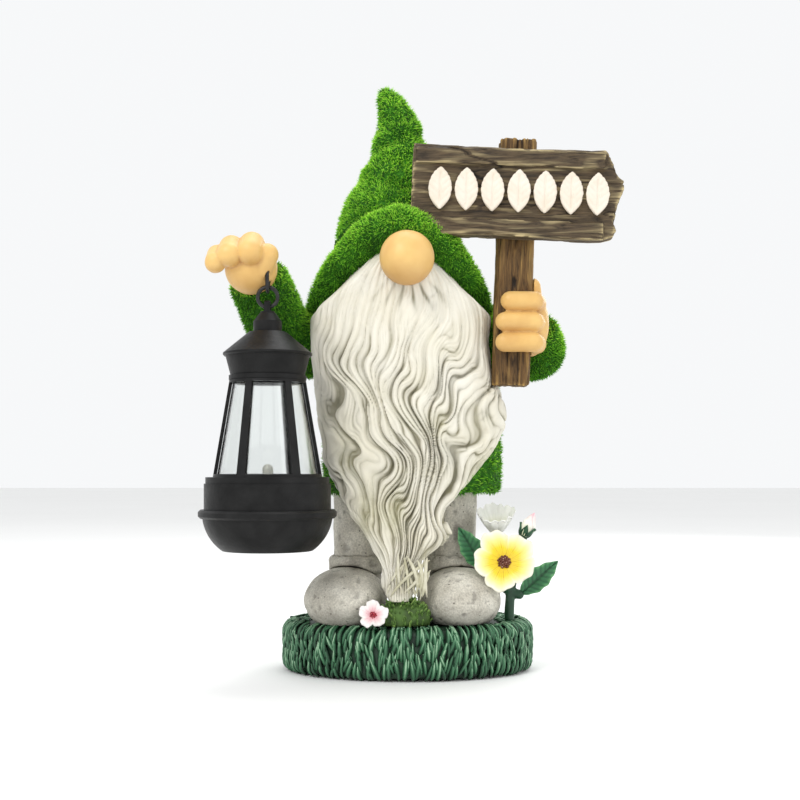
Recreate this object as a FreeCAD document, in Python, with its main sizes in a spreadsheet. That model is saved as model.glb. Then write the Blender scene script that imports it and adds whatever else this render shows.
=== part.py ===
"""Garden gnome: a cast-resin figure on a grass base, with a sign in one hand and a hanging lantern in the other.

Millimetres. +Z is up, the figure faces -Y, and the origin is the middle of the base's flat underside.
Every driving dimension is a cell of the sheet Dims; each sub-part below is tied to those cells.
"""

import FreeCAD
import Part
import Sketcher

import math
import os

Vector = FreeCAD.Vector
X_AXIS = Vector(1, 0, 0)
Y_AXIS = Vector(0, 1, 0)
Z_AXIS = Vector(0, 0, 1)
FULL_TURN = 360
OVAL_POINTS = 24

SIZES = [
    # alias, millimetres or degrees, what it is
    ("glue_gap", 0.35, "joint line between two castings that are glued together"),
    ("base_half_width", 61.5, "grass base, half its width"),
    ("base_half_depth", 43, "grass base, half its depth"),
    ("base_height", 25, "grass base, height"),
    ("base_top_round", 6, "grass base, rounding of the top edge"),
    ("base_foot_round", 4, "grass base, rounding of the bottom edge"),
    ("boot_x_left", -30.3, "left boot, centre"),
    ("boot_x_right", 25.3, "right boot, centre"),
    ("boot_y", -12, "boots, centre"),
    ("boot_half_width", 20.5, "boots, half width"),
    ("boot_half_length", 27, "boots, half length"),
    ("boot_height", 26.5, "boots, height above the base"),
    ("boot_sole_cut", 5, "boots, how much of the egg's underside is cut away"),
    ("leg_x_left", -24.8, "left leg, axis"),
    ("leg_x_right", 22.5, "right leg, axis"),
    ("leg_y", 2, "legs, axis"),
    ("leg_height", 62, "legs and boots together, base to hem"),
    ("leg_foot_radius", 11.5, "legs, radius at the boot"),
    ("leg_top_radius", 12.5, "legs, radius at the coat"),
    ("cuff_radius", 14.5, "boot cuffs, outer radius"),
    ("cuff_height", 12, "boot cuffs, height"),
    ("cuff_rise", 21, "boot cuffs, height of the lower edge above the base"),
    ("rod_radius", 2.5, "steel rods through the legs, radius"),
    ("rod_depth", 15, "steel rods, how deep they sit in the base"),
    ("rod_rise", 14, "steel rods, how far they stand up into the coat"),
    ("rod_fit", 0.1, "radial room for glue round rods and dowels"),
    ("coat_x", 2.5, "coat, centre"),
    ("coat_y", 4, "coat, centre"),
    ("coat_height", 106, "coat, hem to shoulders"),
    ("coat_half_width", 44.5, "coat, half width at the belly"),
    ("coat_half_depth", 33, "coat, half depth at the belly"),
    ("coat_wall", 5, "coat, casting wall"),
    ("coat_recess", 3, "coat, how far the hem hangs below its floor"),
    ("coat_floor", 6, "coat, thickness of the floor that takes the rods"),
    ("coat_roof", 8, "coat, thickness under the neck"),
    ("head_x", -5, "head, centre"),
    ("head_half_width", 30, "head, half width"),
    ("head_half_depth", 27, "head, half depth"),
    ("head_height", 29, "head, height above the shoulders"),
    ("dowel_radius", 4, "hidden dowels, radius"),
    ("dowel_length", 20, "hidden dowels, length"),
    ("neck_dowel_rise", 6, "neck dowel, how far it goes up into the head"),
    ("roll_x", -6, "hat roll, centre"),
    ("roll_y", 2, "hat roll, centre"),
    ("roll_drop", 7.5, "hat roll, how far its centre lies below the shoulders' height"),
    ("roll_radius", 35, "hat roll, radius of its centre line"),
    ("roll_tube", 11.7, "hat roll, radius of its tube"),
    ("roll_tilt", -40, "hat roll, tilt, front edge up"),
    ("hat_height", 106.5, "hat, roll centre to tip"),
    ("nose_x", -0.5, "nose, centre"),
    ("nose_y", -45, "nose, centre"),
    ("nose_rise", 4.3, "nose, height of its centre above the shoulders"),
    ("nose_radius", 12.7, "nose, radius"),
    ("nose_peg_radius", 2.5, "nose peg, radius"),
    ("nose_peg_length", 28, "nose peg, length"),
    ("beard_rise", 14, "beard, height of its top above the shoulders"),
    ("beard_tip_rise", 12, "beard, height of its tip above the base"),
    ("beard_half_width", 47, "beard, half width where it is widest"),
    ("beard_half_depth", 28, "beard, half thickness where it is thickest"),
    ("wrist_radius", 14.3, "left sleeve, radius at the wrist"),
    ("wrist_radius_right", 12.5, "right sleeve, radius at the wrist"),
    ("elbow_radius", 16, "sleeves, radius at the elbow"),
    ("shoulder_radius", 16.5, "sleeves, radius at the shoulder"),
    ("stub_radius", 7.5, "wrist stubs, radius"),
    ("stub_depth", 9, "wrist stubs, how deep they sit in the sleeves"),
    ("hand_left_x", -73.5, "left fist, centre"),
    ("hand_left_y", -38, "left fist, centre"),
    ("hand_left_rise", 0.5, "left fist, height of its centre above the shoulders"),
    ("palm_radius", 12.3, "left fist, palm"),
    ("finger_radius", 5.8, "left fist, fingers"),
    ("hand_right_drop", 23.5, "right fist, how far its middle finger lies below the shoulders"),
    ("grip_radius", 4.7, "right fist, radius of the fingers"),
    ("grip_pitch", 9.8, "right fist, finger to finger"),
    ("post_x", 49.5, "sign post, centre of its lower end"),
    ("post_y", -20, "sign post, centre"),
    ("post_drop", 30, "sign post, how far it goes below the fist's middle finger"),
    ("post_length", 118.5, "sign post, length"),
    ("post_width", 18, "sign post, width"),
    ("post_depth", 13, "sign post, depth"),
    ("post_corner", 3, "sign post, rounding of its long edges"),
    ("post_lean", 1.9, "sign post, lean to the right"),
    ("board_x", 52.3, "sign board, centre"),
    ("board_rise", 91, "sign board, height of its centre over the lower end of the post"),
    ("board_width", 101, "sign board, width"),
    ("board_height", 43, "sign board, height"),
    ("board_thickness", 9, "sign board, thickness at its rails"),
    ("board_sink", 2, "sign board, how far the field lies behind the rails"),
    ("rail_height", 8, "sign board, height of its two rails"),
    ("board_tilt", 2.3, "sign board, tilt, right end down"),
    ("peg_radius", 2, "sign pegs, radius"),
    ("peg_length", 11, "sign pegs, length"),
    ("peg_pitch", 20, "sign pegs, one above the other"),
    ("ornament_rise", 2, "raised leaves on the sign, height over the field"),
    ("ornament_length", 20, "raised leaves, length"),
    ("ornament_round", 12, "raised leaves, radius of their curved sides"),
    ("ornament_pitch", 12.4, "raised leaves, one to the next"),
    ("ornament_count", 7, "raised leaves, how many"),
    ("lantern_offset_x", 8.4, "lantern, axis from the middle of the left fist"),
    ("lantern_offset_y", -6, "lantern, axis from the middle of the left fist"),
    ("hook_drop", 11.6, "hook, lowest wire below the middle of the left fist"),
    ("hook_bend", 2.6, "hook, radius of its bend"),
    ("hook_leg", 8, "hook, length of its two legs"),
    ("wire_radius", 0.9, "hanging ring and hook, radius of the wire"),
    ("wire_play", 0.05, "hanging ring, play on the hook and in the eye"),
    ("ring_radius", 4.6, "hanging ring, radius of its centre line"),
    ("foot_radius", 21, "lantern, flat foot"),
    ("foot_wall", 2.6, "lantern bowl, thickness of the foot"),
    ("bowl_height", 15, "lantern bowl, height"),
    ("bowl_radius", 30, "lantern bowl, outer radius at its rim"),
    ("bowl_round", 22, "lantern bowl, radius of its curved side"),
    ("shell_wall", 1.8, "lantern, wall of the moulded shells"),
    ("bead_radius", 32, "lantern bead, outer radius"),
    ("bead_height", 4, "lantern bead, height"),
    ("band_radius", 29.3, "lantern band, outer radius"),
    ("band_height", 12, "lantern band, height"),
    ("rim_radius", 28.6, "lantern rim, outer radius"),
    ("rim_height", 3, "lantern rim, height"),
    ("deck_thickness", 1.6, "lantern deck, thickness"),
    ("ledge_width", 3, "lantern rim, ledge that carries the deck"),
    ("seat_gap", 0.15, "lantern, room between parts that sit in each other"),
    ("pane_foot_radius", 23.4, "lantern pane, outer radius at the deck"),
    ("pane_top_radius", 15.8, "lantern pane, outer radius at the top"),
    ("pane_height", 45, "lantern pane, height"),
    ("pane_wall", 1.2, "lantern pane, thickness"),
    ("bar_depth", 1.6, "lantern bars, depth"),
    ("bar_foot_width", 4.4, "lantern bars, width at the deck"),
    ("bar_top_width", 3.2, "lantern bars, width at the top"),
    ("bar_count", 6, "lantern bars, how many"),
    ("bar_turn", 7.5, "lantern bars, turn of the whole cage"),
    ("cage_ring", 1.5, "lantern cage, height of its two rings"),
    ("collar_foot_radius", 17.9, "lantern collar, radius at its lower edge"),
    ("collar_step", 2, "lantern collar, height of the lower step"),
    ("collar_height", 11, "lantern collar, height"),
    ("collar_top_radius", 19.4, "lantern collar, radius under the eave"),
    ("eave_radius", 20.6, "lantern roof, eave radius"),
    ("eave_height", 1.4, "lantern roof, eave thickness"),
    ("roof_height", 9.8, "lantern roof, height of the cone"),
    ("roof_top_radius", 8.8, "lantern roof, radius at the top of the cone"),
    ("turret_radius", 6.6, "lantern turret, radius"),
    ("turret_height", 5, "lantern turret, height"),
    ("flare_height", 3.8, "lantern turret, height of its cap"),
    ("flare_radius", 3.8, "lantern turret, radius at the top of its cap"),
    ("knob_radius", 3.3, "lantern knob, radius"),
    ("knob_height", 5.6, "lantern knob, height"),
    ("knob_collar", 0.8, "lantern knob, height of its round foot"),
    ("knob_tab", 2.8, "lantern knob, thickness across the eye"),
    ("eye_radius", 1.5, "lantern knob, radius of the eye"),
    ("eye_drop", 3, "lantern knob, top down to the eye"),
    ("stud_radius", 1.7, "lantern knob, radius of the stud under it"),
    ("stud_length", 6, "lantern knob, length of the stud under it"),
    ("clip_radius", 3.2, "push-on clip, radius"),
    ("clip_thickness", 1, "push-on clip, thickness"),
    ("lamp_radius", 2.5, "light-emitting diode, radius"),
    ("lamp_rise", 6, "light-emitting diode, height over the deck"),
    ("lamp_flange", 0.5, "light-emitting diode, width of the flange at its foot"),
    ("disc_radius", 13, "circuit board, radius"),
    ("disc_thickness", 1.2, "circuit board, thickness"),
    ("disc_drop", 3, "circuit board, how far it hangs under the deck"),
    ("standoff_x", 9, "deck standoffs, distance from the axis"),
    ("standoff_radius", 1.8, "deck standoffs, radius"),
    ("cell_radius", 5.8, "button cells, radius"),
    ("cell_thickness", 5.4, "button cells, thickness"),
    ("cell_count", 3, "button cells, how many"),
    ("cell_clearance", 0.3, "button cells, room over the door's hinge barrel"),
    ("cell_room", 0.7, "button cells, room at their sides and over them in the tray"),
    ("spring_length", 3.2, "battery spring, length when the cells are in"),
    ("tray_wall", 1.2, "battery tray, wall"),
    ("contact_thickness", 1.2, "battery contact, thickness"),
    ("door_x", 2, "battery door, middle of its opening from the lantern's axis"),
    ("door_thickness", 1.6, "battery door, thickness"),
    ("door_gap", 0.3, "battery door, room all round"),
    ("barrel_radius", 1.3, "battery door, radius of its hinge barrel"),
    ("pin_radius", 0.6, "battery door, radius of its hinge pins"),
    ("pin_length", 1.2, "battery door, length of its hinge pins"),
    ("pin_fit", 0.06, "battery door, radial room round its hinge pins"),
    ("switch_x", -15, "slide switch, middle from the lantern's axis"),
    ("switch_travel", 3, "slide switch, travel"),
    ("switch_gap", 0.3, "slide switch, room round the slider"),
    ("thumb_width", 3, "slide switch, width of the thumb piece"),
    ("thumb_length", 3, "slide switch, length of the thumb piece"),
    ("thumb_sink", 0.4, "slide switch, how far the thumb piece lies above the foot"),
    ("flange_rim", 0.8, "slide switch, how far the slider's flange stands out"),
    ("flange_height", 1.4, "slide switch, height of the slider's flange"),
    ("case_wall", 1, "slide switch, wall of its case"),
    ("pillar_circle", 17.7, "lantern pillars, radius of the circle they stand on"),
    ("pillar_radius", 2.6, "lantern pillars, radius"),
    ("screw_radius", 1.1, "lantern screws, radius"),
    ("screw_head_radius", 2, "lantern screws, radius of the head"),
    ("screw_head_height", 1.4, "lantern screws, height of the head"),
    ("screw_seat", 0.8, "lantern bowl, thickness left over the screws' heads"),
    ("screw_length", 9, "lantern screws, length under the head"),
    ("flower_x", 46.3, "open flower, centre"),
    ("flower_y", -25, "open flower, centre"),
    ("flower_rise", 29.7, "open flower, height of its centre above the base"),
    ("flower_radius", 15.2, "open flower, radius"),
    ("flower_heart", 4.5, "open flower, radius of its heart"),
    ("petal_thickness", 3, "petals, thickness"),
    ("cup_x", 43.8, "half-open flower, axis"),
    ("cup_y", -8, "half-open flower, axis"),
    ("cup_rise", 43, "half-open flower, height of its foot above the base"),
    ("cup_radius", 9.5, "half-open flower, radius at the lip"),
    ("cup_height", 12, "half-open flower, height"),
    ("cup_wall", 1.8, "half-open flower, thickness"),
    ("bud_x", 56.5, "bud, foot"),
    ("bud_y", -15, "bud, foot"),
    ("bud_rise", 42, "bud, height of its foot above the base"),
    ("bud_length", 12.5, "bud, length"),
    ("bud_radius", 3.6, "bud, radius"),
    ("bud_lean", 26, "bud, lean to the right"),
    ("calyx_height", 4, "bud, height of its calyx"),
    ("stem_radius", 2.2, "flower stems, radius"),
    ("stem_x", 50, "flower stems, where they leave the base"),
    ("stem_y", -12, "flower stems, where they leave the base"),
    ("leaf_thickness", 2, "leaves, thickness"),
    ("leaf_length", 25, "leaves, length"),
    ("leaf_round", 17, "leaves, radius of their curved sides"),
    ("blossom_x", -16.3, "small blossom, centre"),
    ("blossom_y", -39, "small blossom, centre"),
    ("blossom_rise", 5.5, "small blossom, height of its centre above the base"),
    ("blossom_radius", 7.2, "small blossom, radius"),
    ("blossom_heart", 2, "small blossom, radius of its heart"),
    ("blossom_lean", 55, "small blossom, how far it leans back from facing up"),
    ("tuft_x", -2, "grass tuft, centre"),
    ("tuft_y", -32, "grass tuft, centre"),
    ("tuft_half_width", 13, "grass tuft, half width"),
    ("tuft_half_depth", 8, "grass tuft, half depth"),
    ("tuft_height", 12, "grass tuft, height"),
]

doc = FreeCAD.newDocument("GardenGnome")
sheet = doc.addObject("Spreadsheet::Sheet", "Dims")
for row, (alias, number, note) in enumerate(SIZES, start=1):
    sheet.set(f"A{row}", note)
    sheet.set(f"B{row}", str(number))
    sheet.setAlias(f"B{row}", alias)
doc.recompute()


class Size:
    """A dimension: its value now, and the expression over the sheet's cells that keeps it current."""

    def __init__(self, number, text):
        self.number = float(number)
        self.text = text

    def _with(self, other, sign, number, swap=False):
        other = as_size(other)
        first, second = (other, self) if swap else (self, other)
        return Size(number(first.number, second.number), f"({first.text} {sign} {second.text})")

    def __add__(self, other):
        return self._with(other, "+", lambda a, b: a + b)

    def __radd__(self, other):
        return self._with(other, "+", lambda a, b: a + b, swap=True)

    def __sub__(self, other):
        return self._with(other, "-", lambda a, b: a - b)

    def __rsub__(self, other):
        return self._with(other, "-", lambda a, b: a - b, swap=True)

    def __mul__(self, other):
        return self._with(other, "*", lambda a, b: a * b)

    def __rmul__(self, other):
        return self._with(other, "*", lambda a, b: a * b, swap=True)

    def __truediv__(self, other):
        return self._with(other, "/", lambda a, b: a / b)

    def __neg__(self):
        return 0 - self

    def __float__(self):
        return self.number


def as_size(value):
    return value if isinstance(value, Size) else Size(value, repr(float(value)))


class Dims:
    """Reads the sheet: d.nose_radius is the cell with that alias."""

    def __getattr__(self, alias):
        return Size(sheet.get(alias), f"Dims.{alias}")


d = Dims()
parts = {}


def part(name, made):
    """Names a finished sub-part; its label is also its file's name."""
    made.Label = name
    parts[name] = made
    return made


def put(made, x=0, y=0, z=0, axis=Z_AXIS, angle=0):
    """Places an object; each coordinate and the angle may be tied to the sheet."""
    made.Placement = FreeCAD.Placement(Vector(0, 0, 0), FreeCAD.Rotation(axis, float(angle)))
    if isinstance(angle, Size):
        made.setExpression("Placement.Rotation.Angle", angle.text)
    for letter, value in (("x", x), ("y", y), ("z", z)):
        made.setExpression(f"Placement.Base.{letter}", as_size(value).text)
    return made


def primitive(kind, name, sizes, **place):
    made = doc.addObject(f"Part::{kind}", name)
    for prop, value in sizes.items():
        made.setExpression(prop, as_size(value).text)
    return put(made, **place)


def rod(name, radius, length, **place):
    return primitive("Cylinder", name, {"Radius": radius, "Height": length}, **place)


def egg(name, half_x, half_y, half_z, **place):
    sizes = {"Radius1": half_z, "Radius2": half_x, "Radius3": half_y}
    made = primitive("Ellipsoid", name, sizes, **place)
    made.Angle1, made.Angle2, made.Angle3 = -90, 90, FULL_TURN
    return made


def block(name, length, width, height, **place):
    return primitive("Box", name, {"Length": length, "Width": width, "Height": height}, **place)


def shaped(name, shape):
    made = doc.addObject("Part::Feature", name)
    made.Shape = shape
    return made


def fused(name, *pieces):
    made = doc.addObject("Part::MultiFuse", name)
    made.Shapes = list(pieces)
    made.Refine = False
    return made


def plane_of(body, role):
    return next(f for f in body.Origin.OriginFeatures if f.Role == role)


def new_body(name):
    return doc.addObject("PartDesign::Body", name)


def new_sketch(body, name, role="XY_Plane", offset=0):
    sketch = body.newObject("Sketcher::SketchObject", name)
    sketch.AttachmentSupport = [(plane_of(body, role), "")]
    sketch.MapMode = "FlatFace"
    sketch.setExpression("AttachmentOffset.Base.z", as_size(offset).text)
    return sketch


def fix_point(sketch, curve, end, x, y):
    """Ties one end of a sketch curve to two sizes, measured from the sketch's origin."""
    origin = (-1, 1)
    for kind, value, axis_line in (("DistanceX", x, -2), ("DistanceY", y, -1)):
        size = as_size(value)
        if abs(size.number) < 1e-9:
            sketch.addConstraint(Sketcher.Constraint("PointOnObject", curve, end, axis_line))
            continue
        index = sketch.addConstraint(Sketcher.Constraint(kind, *origin, curve, end, size.number))
        sketch.setExpression(f"Constraints[{index}]", size.text)


def arc_through(start, end, radius, bulge):
    """An arc from start to end; bulge is 1 if it bows to the left of that direction, -1 to the right."""
    chord = end - start
    half = chord.Length / 2
    side = Vector(-chord.y, chord.x, 0).normalize() * -bulge
    centre = (start + end) * 0.5 + side * math.sqrt(max(radius * radius - half * half, 0))
    a_start = math.atan2(start.y - centre.y, start.x - centre.x)
    a_end = math.atan2(end.y - centre.y, end.x - centre.x)
    circle = Part.Circle(centre, Z_AXIS, radius)
    first, last = (a_start, a_end) if bulge < 0 else (a_end, a_start)
    return Part.ArcOfCircle(circle, first, last), bulge < 0


def outline(sketch, points, arcs=None):
    """A closed outline through points; arcs maps a side's number to its radius and bulge."""
    arcs = arcs or {}
    at = [Vector(float(as_size(x)), float(as_size(y)), 0) for x, y in points]
    ends = []
    for i, start in enumerate(at):
        end = at[(i + 1) % len(at)]
        if i in arcs:
            radius, bulge = arcs[i]
            curve, forward = arc_through(start, end, float(as_size(radius)), bulge)
            number = sketch.addGeometry(curve)
            ends.append((number, 1, 2) if forward else (number, 2, 1))
        else:
            ends.append((sketch.addGeometry(Part.LineSegment(start, end)), 1, 2))
    for i, (number, _, last) in enumerate(ends):
        following, first, _ = ends[(i + 1) % len(ends)]
        sketch.addConstraint(Sketcher.Constraint("Coincident", number, last, following, first))
    for (number, first, _), (x, y) in zip(ends, points):
        fix_point(sketch, number, first, x, y)
    for i, (radius, _) in arcs.items():
        size = as_size(radius)
        index = sketch.addConstraint(Sketcher.Constraint("Radius", ends[i][0], size.number))
        sketch.setExpression(f"Constraints[{index}]", size.text)


def turned(name, points, arcs=None, **place):
    """A body turned about its own Z axis from an outline of (radius, height) points."""
    body = new_body(name)
    sketch = new_sketch(body, name + "_profile", "XZ_Plane")
    outline(sketch, points, arcs)
    spin = body.newObject("PartDesign::Revolution", name + "_spin")
    spin.Profile = sketch
    spin.ReferenceAxis = (sketch, ["V_Axis"])
    spin.Angle = FULL_TURN
    return put(body, **place)


def pad(body, sketch, length, name):
    made = body.newObject("PartDesign::Pad", name)
    made.Profile = sketch
    made.setExpression("Length", as_size(length).text)
    return made


def oval(x, y, z, half_x, half_y, tilt=0):
    """A closed smooth outline round (x, y, z), tilted about X so that its front, at -Y, drops by tilt degrees."""
    turn = FreeCAD.Rotation(X_AXIS, tilt)
    points = []
    for i in range(OVAL_POINTS):
        angle = 2 * math.pi * i / OVAL_POINTS
        flat = Vector(half_x * math.cos(angle), half_y * math.sin(angle), 0)
        points.append(turn.multVec(flat) + Vector(x, y, z))
    curve = Part.BSplineCurve()
    curve.interpolate(points, PeriodicFlag=True)
    return Part.Wire(curve.toShape())


def limb(points, radii):
    """Cones from point to point with a ball at each inner one, fused into one solid."""
    pieces = []
    for a, b, ra, rb in zip(points, points[1:], radii, radii[1:]):
        along = b - a
        if abs(ra - rb) < 1e-6:
            pieces.append(Part.makeCylinder(ra, along.Length, a, along))
        else:
            pieces.append(Part.makeCone(ra, rb, along.Length, a, along))
    for point, radius in zip(points[1:-1], radii[1:-1]):
        pieces.append(Part.makeSphere(radius, point))
    return pieces[0].multiFuse(pieces[1:]) if len(pieces) > 1 else pieces[0]


def capsule(a, b, radius):
    body = Part.makeCylinder(radius, (b - a).Length, a, b - a)
    return body.multiFuse([Part.makeSphere(radius, a), Part.makeSphere(radius, b)])


def vec(*values):
    return Vector(*(float(as_size(value)) for value in values))


def root(size):
    return Size(math.sqrt(size.number), f"sqrt({size.text})")


def number(alias):
    return float(getattr(d, alias))


def lofted(name, sections):
    """A smooth solid through ovals, each given as (x, y, z, half_x, half_y, tilt)."""
    wires = [oval(*section) for section in sections]
    return shaped(name, Part.makeLoft(wires, True, False))


def chain_cut(name, base, *tools):
    """Cuts the tools away one after another and names the result as a sub-part."""
    for i, tool in enumerate(tools):
        step = doc.addObject("Part::Cut", f"{name}_cut{i}")
        step.Base = base
        step.Tool = tool
        step.Refine = False
        base = step
    return part(name, base)


def wire_along(edges, radius):
    """Round wire that follows the edges."""
    first = edges[0]
    start = first.valueAt(first.FirstParameter)
    along = first.tangentAt(first.FirstParameter)
    profile = Part.Wire(Part.makeCircle(radius, start, along))
    return Part.Wire(edges).makePipeShell([profile], True, False)


# ---- heights that follow from one another -------------------------------------------------------------

base_top = d.base_height
hem_z = base_top + d.leg_height
shoulder_z = hem_z + d.coat_height
roll_z = shoulder_z - d.roll_drop
nose_z = shoulder_z + d.nose_rise
hand_left_z = shoulder_z + d.hand_left_rise
hand_right_z = shoulder_z - d.hand_right_drop
post_z = hand_right_z - d.post_drop
board_z = post_z + d.board_rise
leg_floor_z = hem_z + d.coat_recess

lantern_x = d.hand_left_x + d.lantern_offset_x
lantern_y = d.hand_left_y + d.lantern_offset_y
hook_z = hand_left_z - d.hook_drop
ring_top_z = hook_z + 2 * d.wire_radius + d.wire_play
ring_z = ring_top_z - d.ring_radius
ring_bore = d.ring_radius - d.wire_radius
eye_z = ring_z - root(ring_bore * ring_bore - d.knob_tab * d.knob_tab / 4) + d.wire_play - d.eye_radius

bead_z = d.bowl_height
band_z = bead_z + d.bead_height
rim_z = band_z + d.band_height
deck_top = rim_z + d.rim_height
deck_z = deck_top - d.deck_thickness
pane_top = deck_top + d.pane_height
roof_z = pane_top + d.collar_height
cone_z = roof_z + d.eave_height
turret_z = cone_z + d.roof_height
flare_z = turret_z + d.turret_height
knob_z = flare_z + d.flare_height
lantern_height = knob_z + d.knob_height
lantern_z = eye_z + d.eye_drop - lantern_height


# ---- base, boots and legs --------------------------------------------------------------------------------

def rod_holes(name):
    """The two holes that the leg rods pass through."""
    length = d.rod_depth + d.leg_height + d.rod_rise
    radius = d.rod_radius + d.rod_fit
    place = {"y": d.leg_y, "z": base_top - d.rod_depth}
    left = rod(name + "_left", radius, length, x=d.leg_x_left, **place)
    right = rod(name + "_right", radius, length, x=d.leg_x_right, **place)
    return left, right


def make_base():
    body = new_body("grass_base_casting")
    sketch = new_sketch(body, "grass_base_plan")
    plan = sketch.addGeometry(Part.Ellipse(Vector(), number("base_half_width"), number("base_half_depth")))
    sketch.exposeInternalGeometry(plan)
    sketch.addConstraint(Sketcher.Constraint("Coincident", plan, 3, -1, 1))
    sketch.addConstraint(Sketcher.Constraint("Horizontal", plan + 1))
    for line, half in ((plan + 1, d.base_half_width), (plan + 2, d.base_half_depth)):
        index = sketch.addConstraint(Sketcher.Constraint("Distance", line, 2 * half.number))
        sketch.setExpression(f"Constraints[{index}]", (2 * half).text)
    slab = pad(body, sketch, d.base_height, "grass_base_slab")
    doc.recompute()
    for name, top, radius in (("top", True, d.base_top_round), ("foot", False, d.base_foot_round)):
        height = d.base_height.number if top else 0
        edge = next(i for i, e in enumerate(slab.Shape.Edges, start=1)
                    if abs(e.BoundBox.ZMin - height) < 0.01 and e.BoundBox.ZLength < 0.01)
        rounded = body.newObject("PartDesign::Fillet", "grass_base_" + name)
        rounded.Base = (slab, [f"Edge{edge}"])
        rounded.setExpression("Radius", radius.text)
        doc.recompute()
        slab = rounded
    chain_cut("grass_base", body, *rod_holes("base_rod_hole"))
    return body


def boot_egg(name, x, extra=0):
    half_height = (d.boot_height + d.boot_sole_cut) / 2 + extra
    centre_z = base_top - d.boot_sole_cut + (d.boot_height + d.boot_sole_cut) / 2
    half_x = d.boot_half_width + extra
    half_y = d.boot_half_length + extra
    return egg(name, half_x, half_y, half_height, x=x, y=d.boot_y, z=centre_z)


def ankle(name, x, extra=0):
    """The leg as a tapered column from inside the boot to the coat's floor."""
    low = base_top + d.boot_height / 2
    sizes = {"Radius1": d.leg_foot_radius + extra, "Radius2": d.leg_top_radius + extra,
             "Height": leg_floor_z - low}
    return primitive("Cone", name, sizes, x=x, y=d.leg_y, z=low)


def make_feet():
    forms = []
    for side, x in (("left", d.boot_x_left), ("right", d.boot_x_right)):
        leg_x = d.leg_x_left if side == "left" else d.leg_x_right
        egg_form = boot_egg(f"boot_{side}_form", x)
        sole = block(f"boot_{side}_sole", 4 * d.boot_half_width, 4 * d.boot_half_length, 2 * d.boot_height,
                     x=x - 2 * d.boot_half_width, y=d.boot_y - 2 * d.boot_half_length,
                     z=base_top - 2 * d.boot_height)
        chain_cut(f"boot_{side}", egg_form, sole, *rod_holes(f"boot_{side}_hole"))
        grown = boot_egg(f"boot_{side}_room", x, d.glue_gap)
        chain_cut(f"leg_{side}", ankle(f"leg_{side}_form", leg_x), grown, *rod_holes(f"leg_{side}_hole"))
        inner = d.leg_foot_radius / 2
        outer = d.cuff_radius
        edge = d.cuff_height / 4
        ring = turned(f"cuff_{side}_roll",
                      [(inner, 0), (outer - edge, 0), (outer, edge), (outer, d.cuff_height - edge),
                       (outer - edge, d.cuff_height), (inner, d.cuff_height)],
                      x=leg_x, y=d.leg_y, z=base_top + d.cuff_rise)
        leg_room = ankle(f"leg_{side}_room", leg_x, d.glue_gap)
        chain_cut(f"cuff_{side}", ring, leg_room, boot_egg(f"boot_{side}_cuff_room", x, d.glue_gap))
        part(f"leg_rod_{side}", rod(f"leg_rod_{side}_bar", d.rod_radius,
                                    d.rod_depth + d.leg_height + d.rod_rise,
                                    x=leg_x, y=d.leg_y, z=base_top - d.rod_depth))
        forms.append(boot_egg(f"boot_{side}_keepout", x, d.glue_gap))
        forms.append(ankle(f"leg_{side}_keepout", leg_x, d.glue_gap))
    return forms


# ---- coat, head, hat and nose --------------------------------------------------------------------------

COAT_SHAPE = [(0, 1, 1), (0.25, 1.011, 1.03), (0.53, 0.966, 1), (0.81, 0.86, 0.91), (1, 0.68, 0.75)]


def coat_form(name, extra=0.0, low=0.0, high=1.0):
    """The coat's outer shape, grown by extra and kept between two shares of its height."""
    height = number("coat_height")
    sections = []
    for share, wide, deep in COAT_SHAPE:
        level = min(max(share, low), high)
        half_x = number("coat_half_width") * wide + extra
        half_y = number("coat_half_depth") * deep + extra
        sections.append((number("coat_x"), number("coat_y"), level * height, half_x, half_y))
    sections[0] = (*sections[0][:2], sections[0][2] - max(extra, 0), *sections[0][3:])
    sections[-1] = (*sections[-1][:2], sections[-1][2] + max(extra, 0), *sections[-1][3:])
    return put(lofted(name, sections), z=hem_z)


def shoulder_dowels(name, extra=0):
    """The two hidden dowels that carry the sleeves, each across the coat's side wall."""
    wall_share = 0.88
    reach = d.coat_half_width * wall_share
    z = shoulder_z - 27
    half = d.dowel_length / 2
    made = []
    for side, middle in (("left", d.coat_x - reach), ("right", d.coat_x + reach)):
        made.append(rod(f"{name}_{side}", d.dowel_radius + extra, d.dowel_length + 2 * as_size(extra),
                        x=middle - half - extra, y=d.coat_y, z=z, axis=Y_AXIS, angle=90))
    return made


def neck_dowel(name, extra=0):
    z = shoulder_z + d.neck_dowel_rise - d.dowel_length
    return rod(name, d.dowel_radius + extra, d.dowel_length + extra, x=d.coat_x - 3.5, y=d.coat_y - 2, z=z)


def make_coat():
    outer = coat_form("coat_form")
    wall = number("coat_wall")
    height = number("coat_height")
    floor_share = (number("coat_recess") + number("coat_floor")) / height
    roof_share = 1 - number("coat_roof") / height
    cavity = coat_form("coat_cavity", -wall, floor_share, roof_share)
    recess_sections = [(number("coat_x"), number("coat_y"), z, number("coat_half_width") - wall,
                        number("coat_half_depth") - wall) for z in (-wall, number("coat_recess"))]
    recess = put(lofted("coat_recess_form", recess_sections), z=hem_z)
    legs = [ankle(f"coat_leg_room_{side}", x, d.glue_gap)
            for side, x in (("left", d.leg_x_left), ("right", d.leg_x_right))]
    return chain_cut("coat", outer, cavity, recess, *legs, *rod_holes("coat_rod_hole"),
                     *shoulder_dowels("coat_dowel_hole", d.rod_fit), neck_dowel("coat_neck_hole", d.rod_fit))


def head_egg(name, extra=0):
    return egg(name, d.head_half_width + extra, d.head_half_depth + extra, d.head_height + extra,
               x=d.head_x, z=shoulder_z)


def nose_peg(name, extra=0):
    back = d.nose_y + d.nose_peg_length
    return rod(name, d.nose_peg_radius + extra, d.nose_peg_length + extra,
               x=d.nose_x, y=back + extra, z=nose_z, axis=X_AXIS, angle=90)


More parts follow.
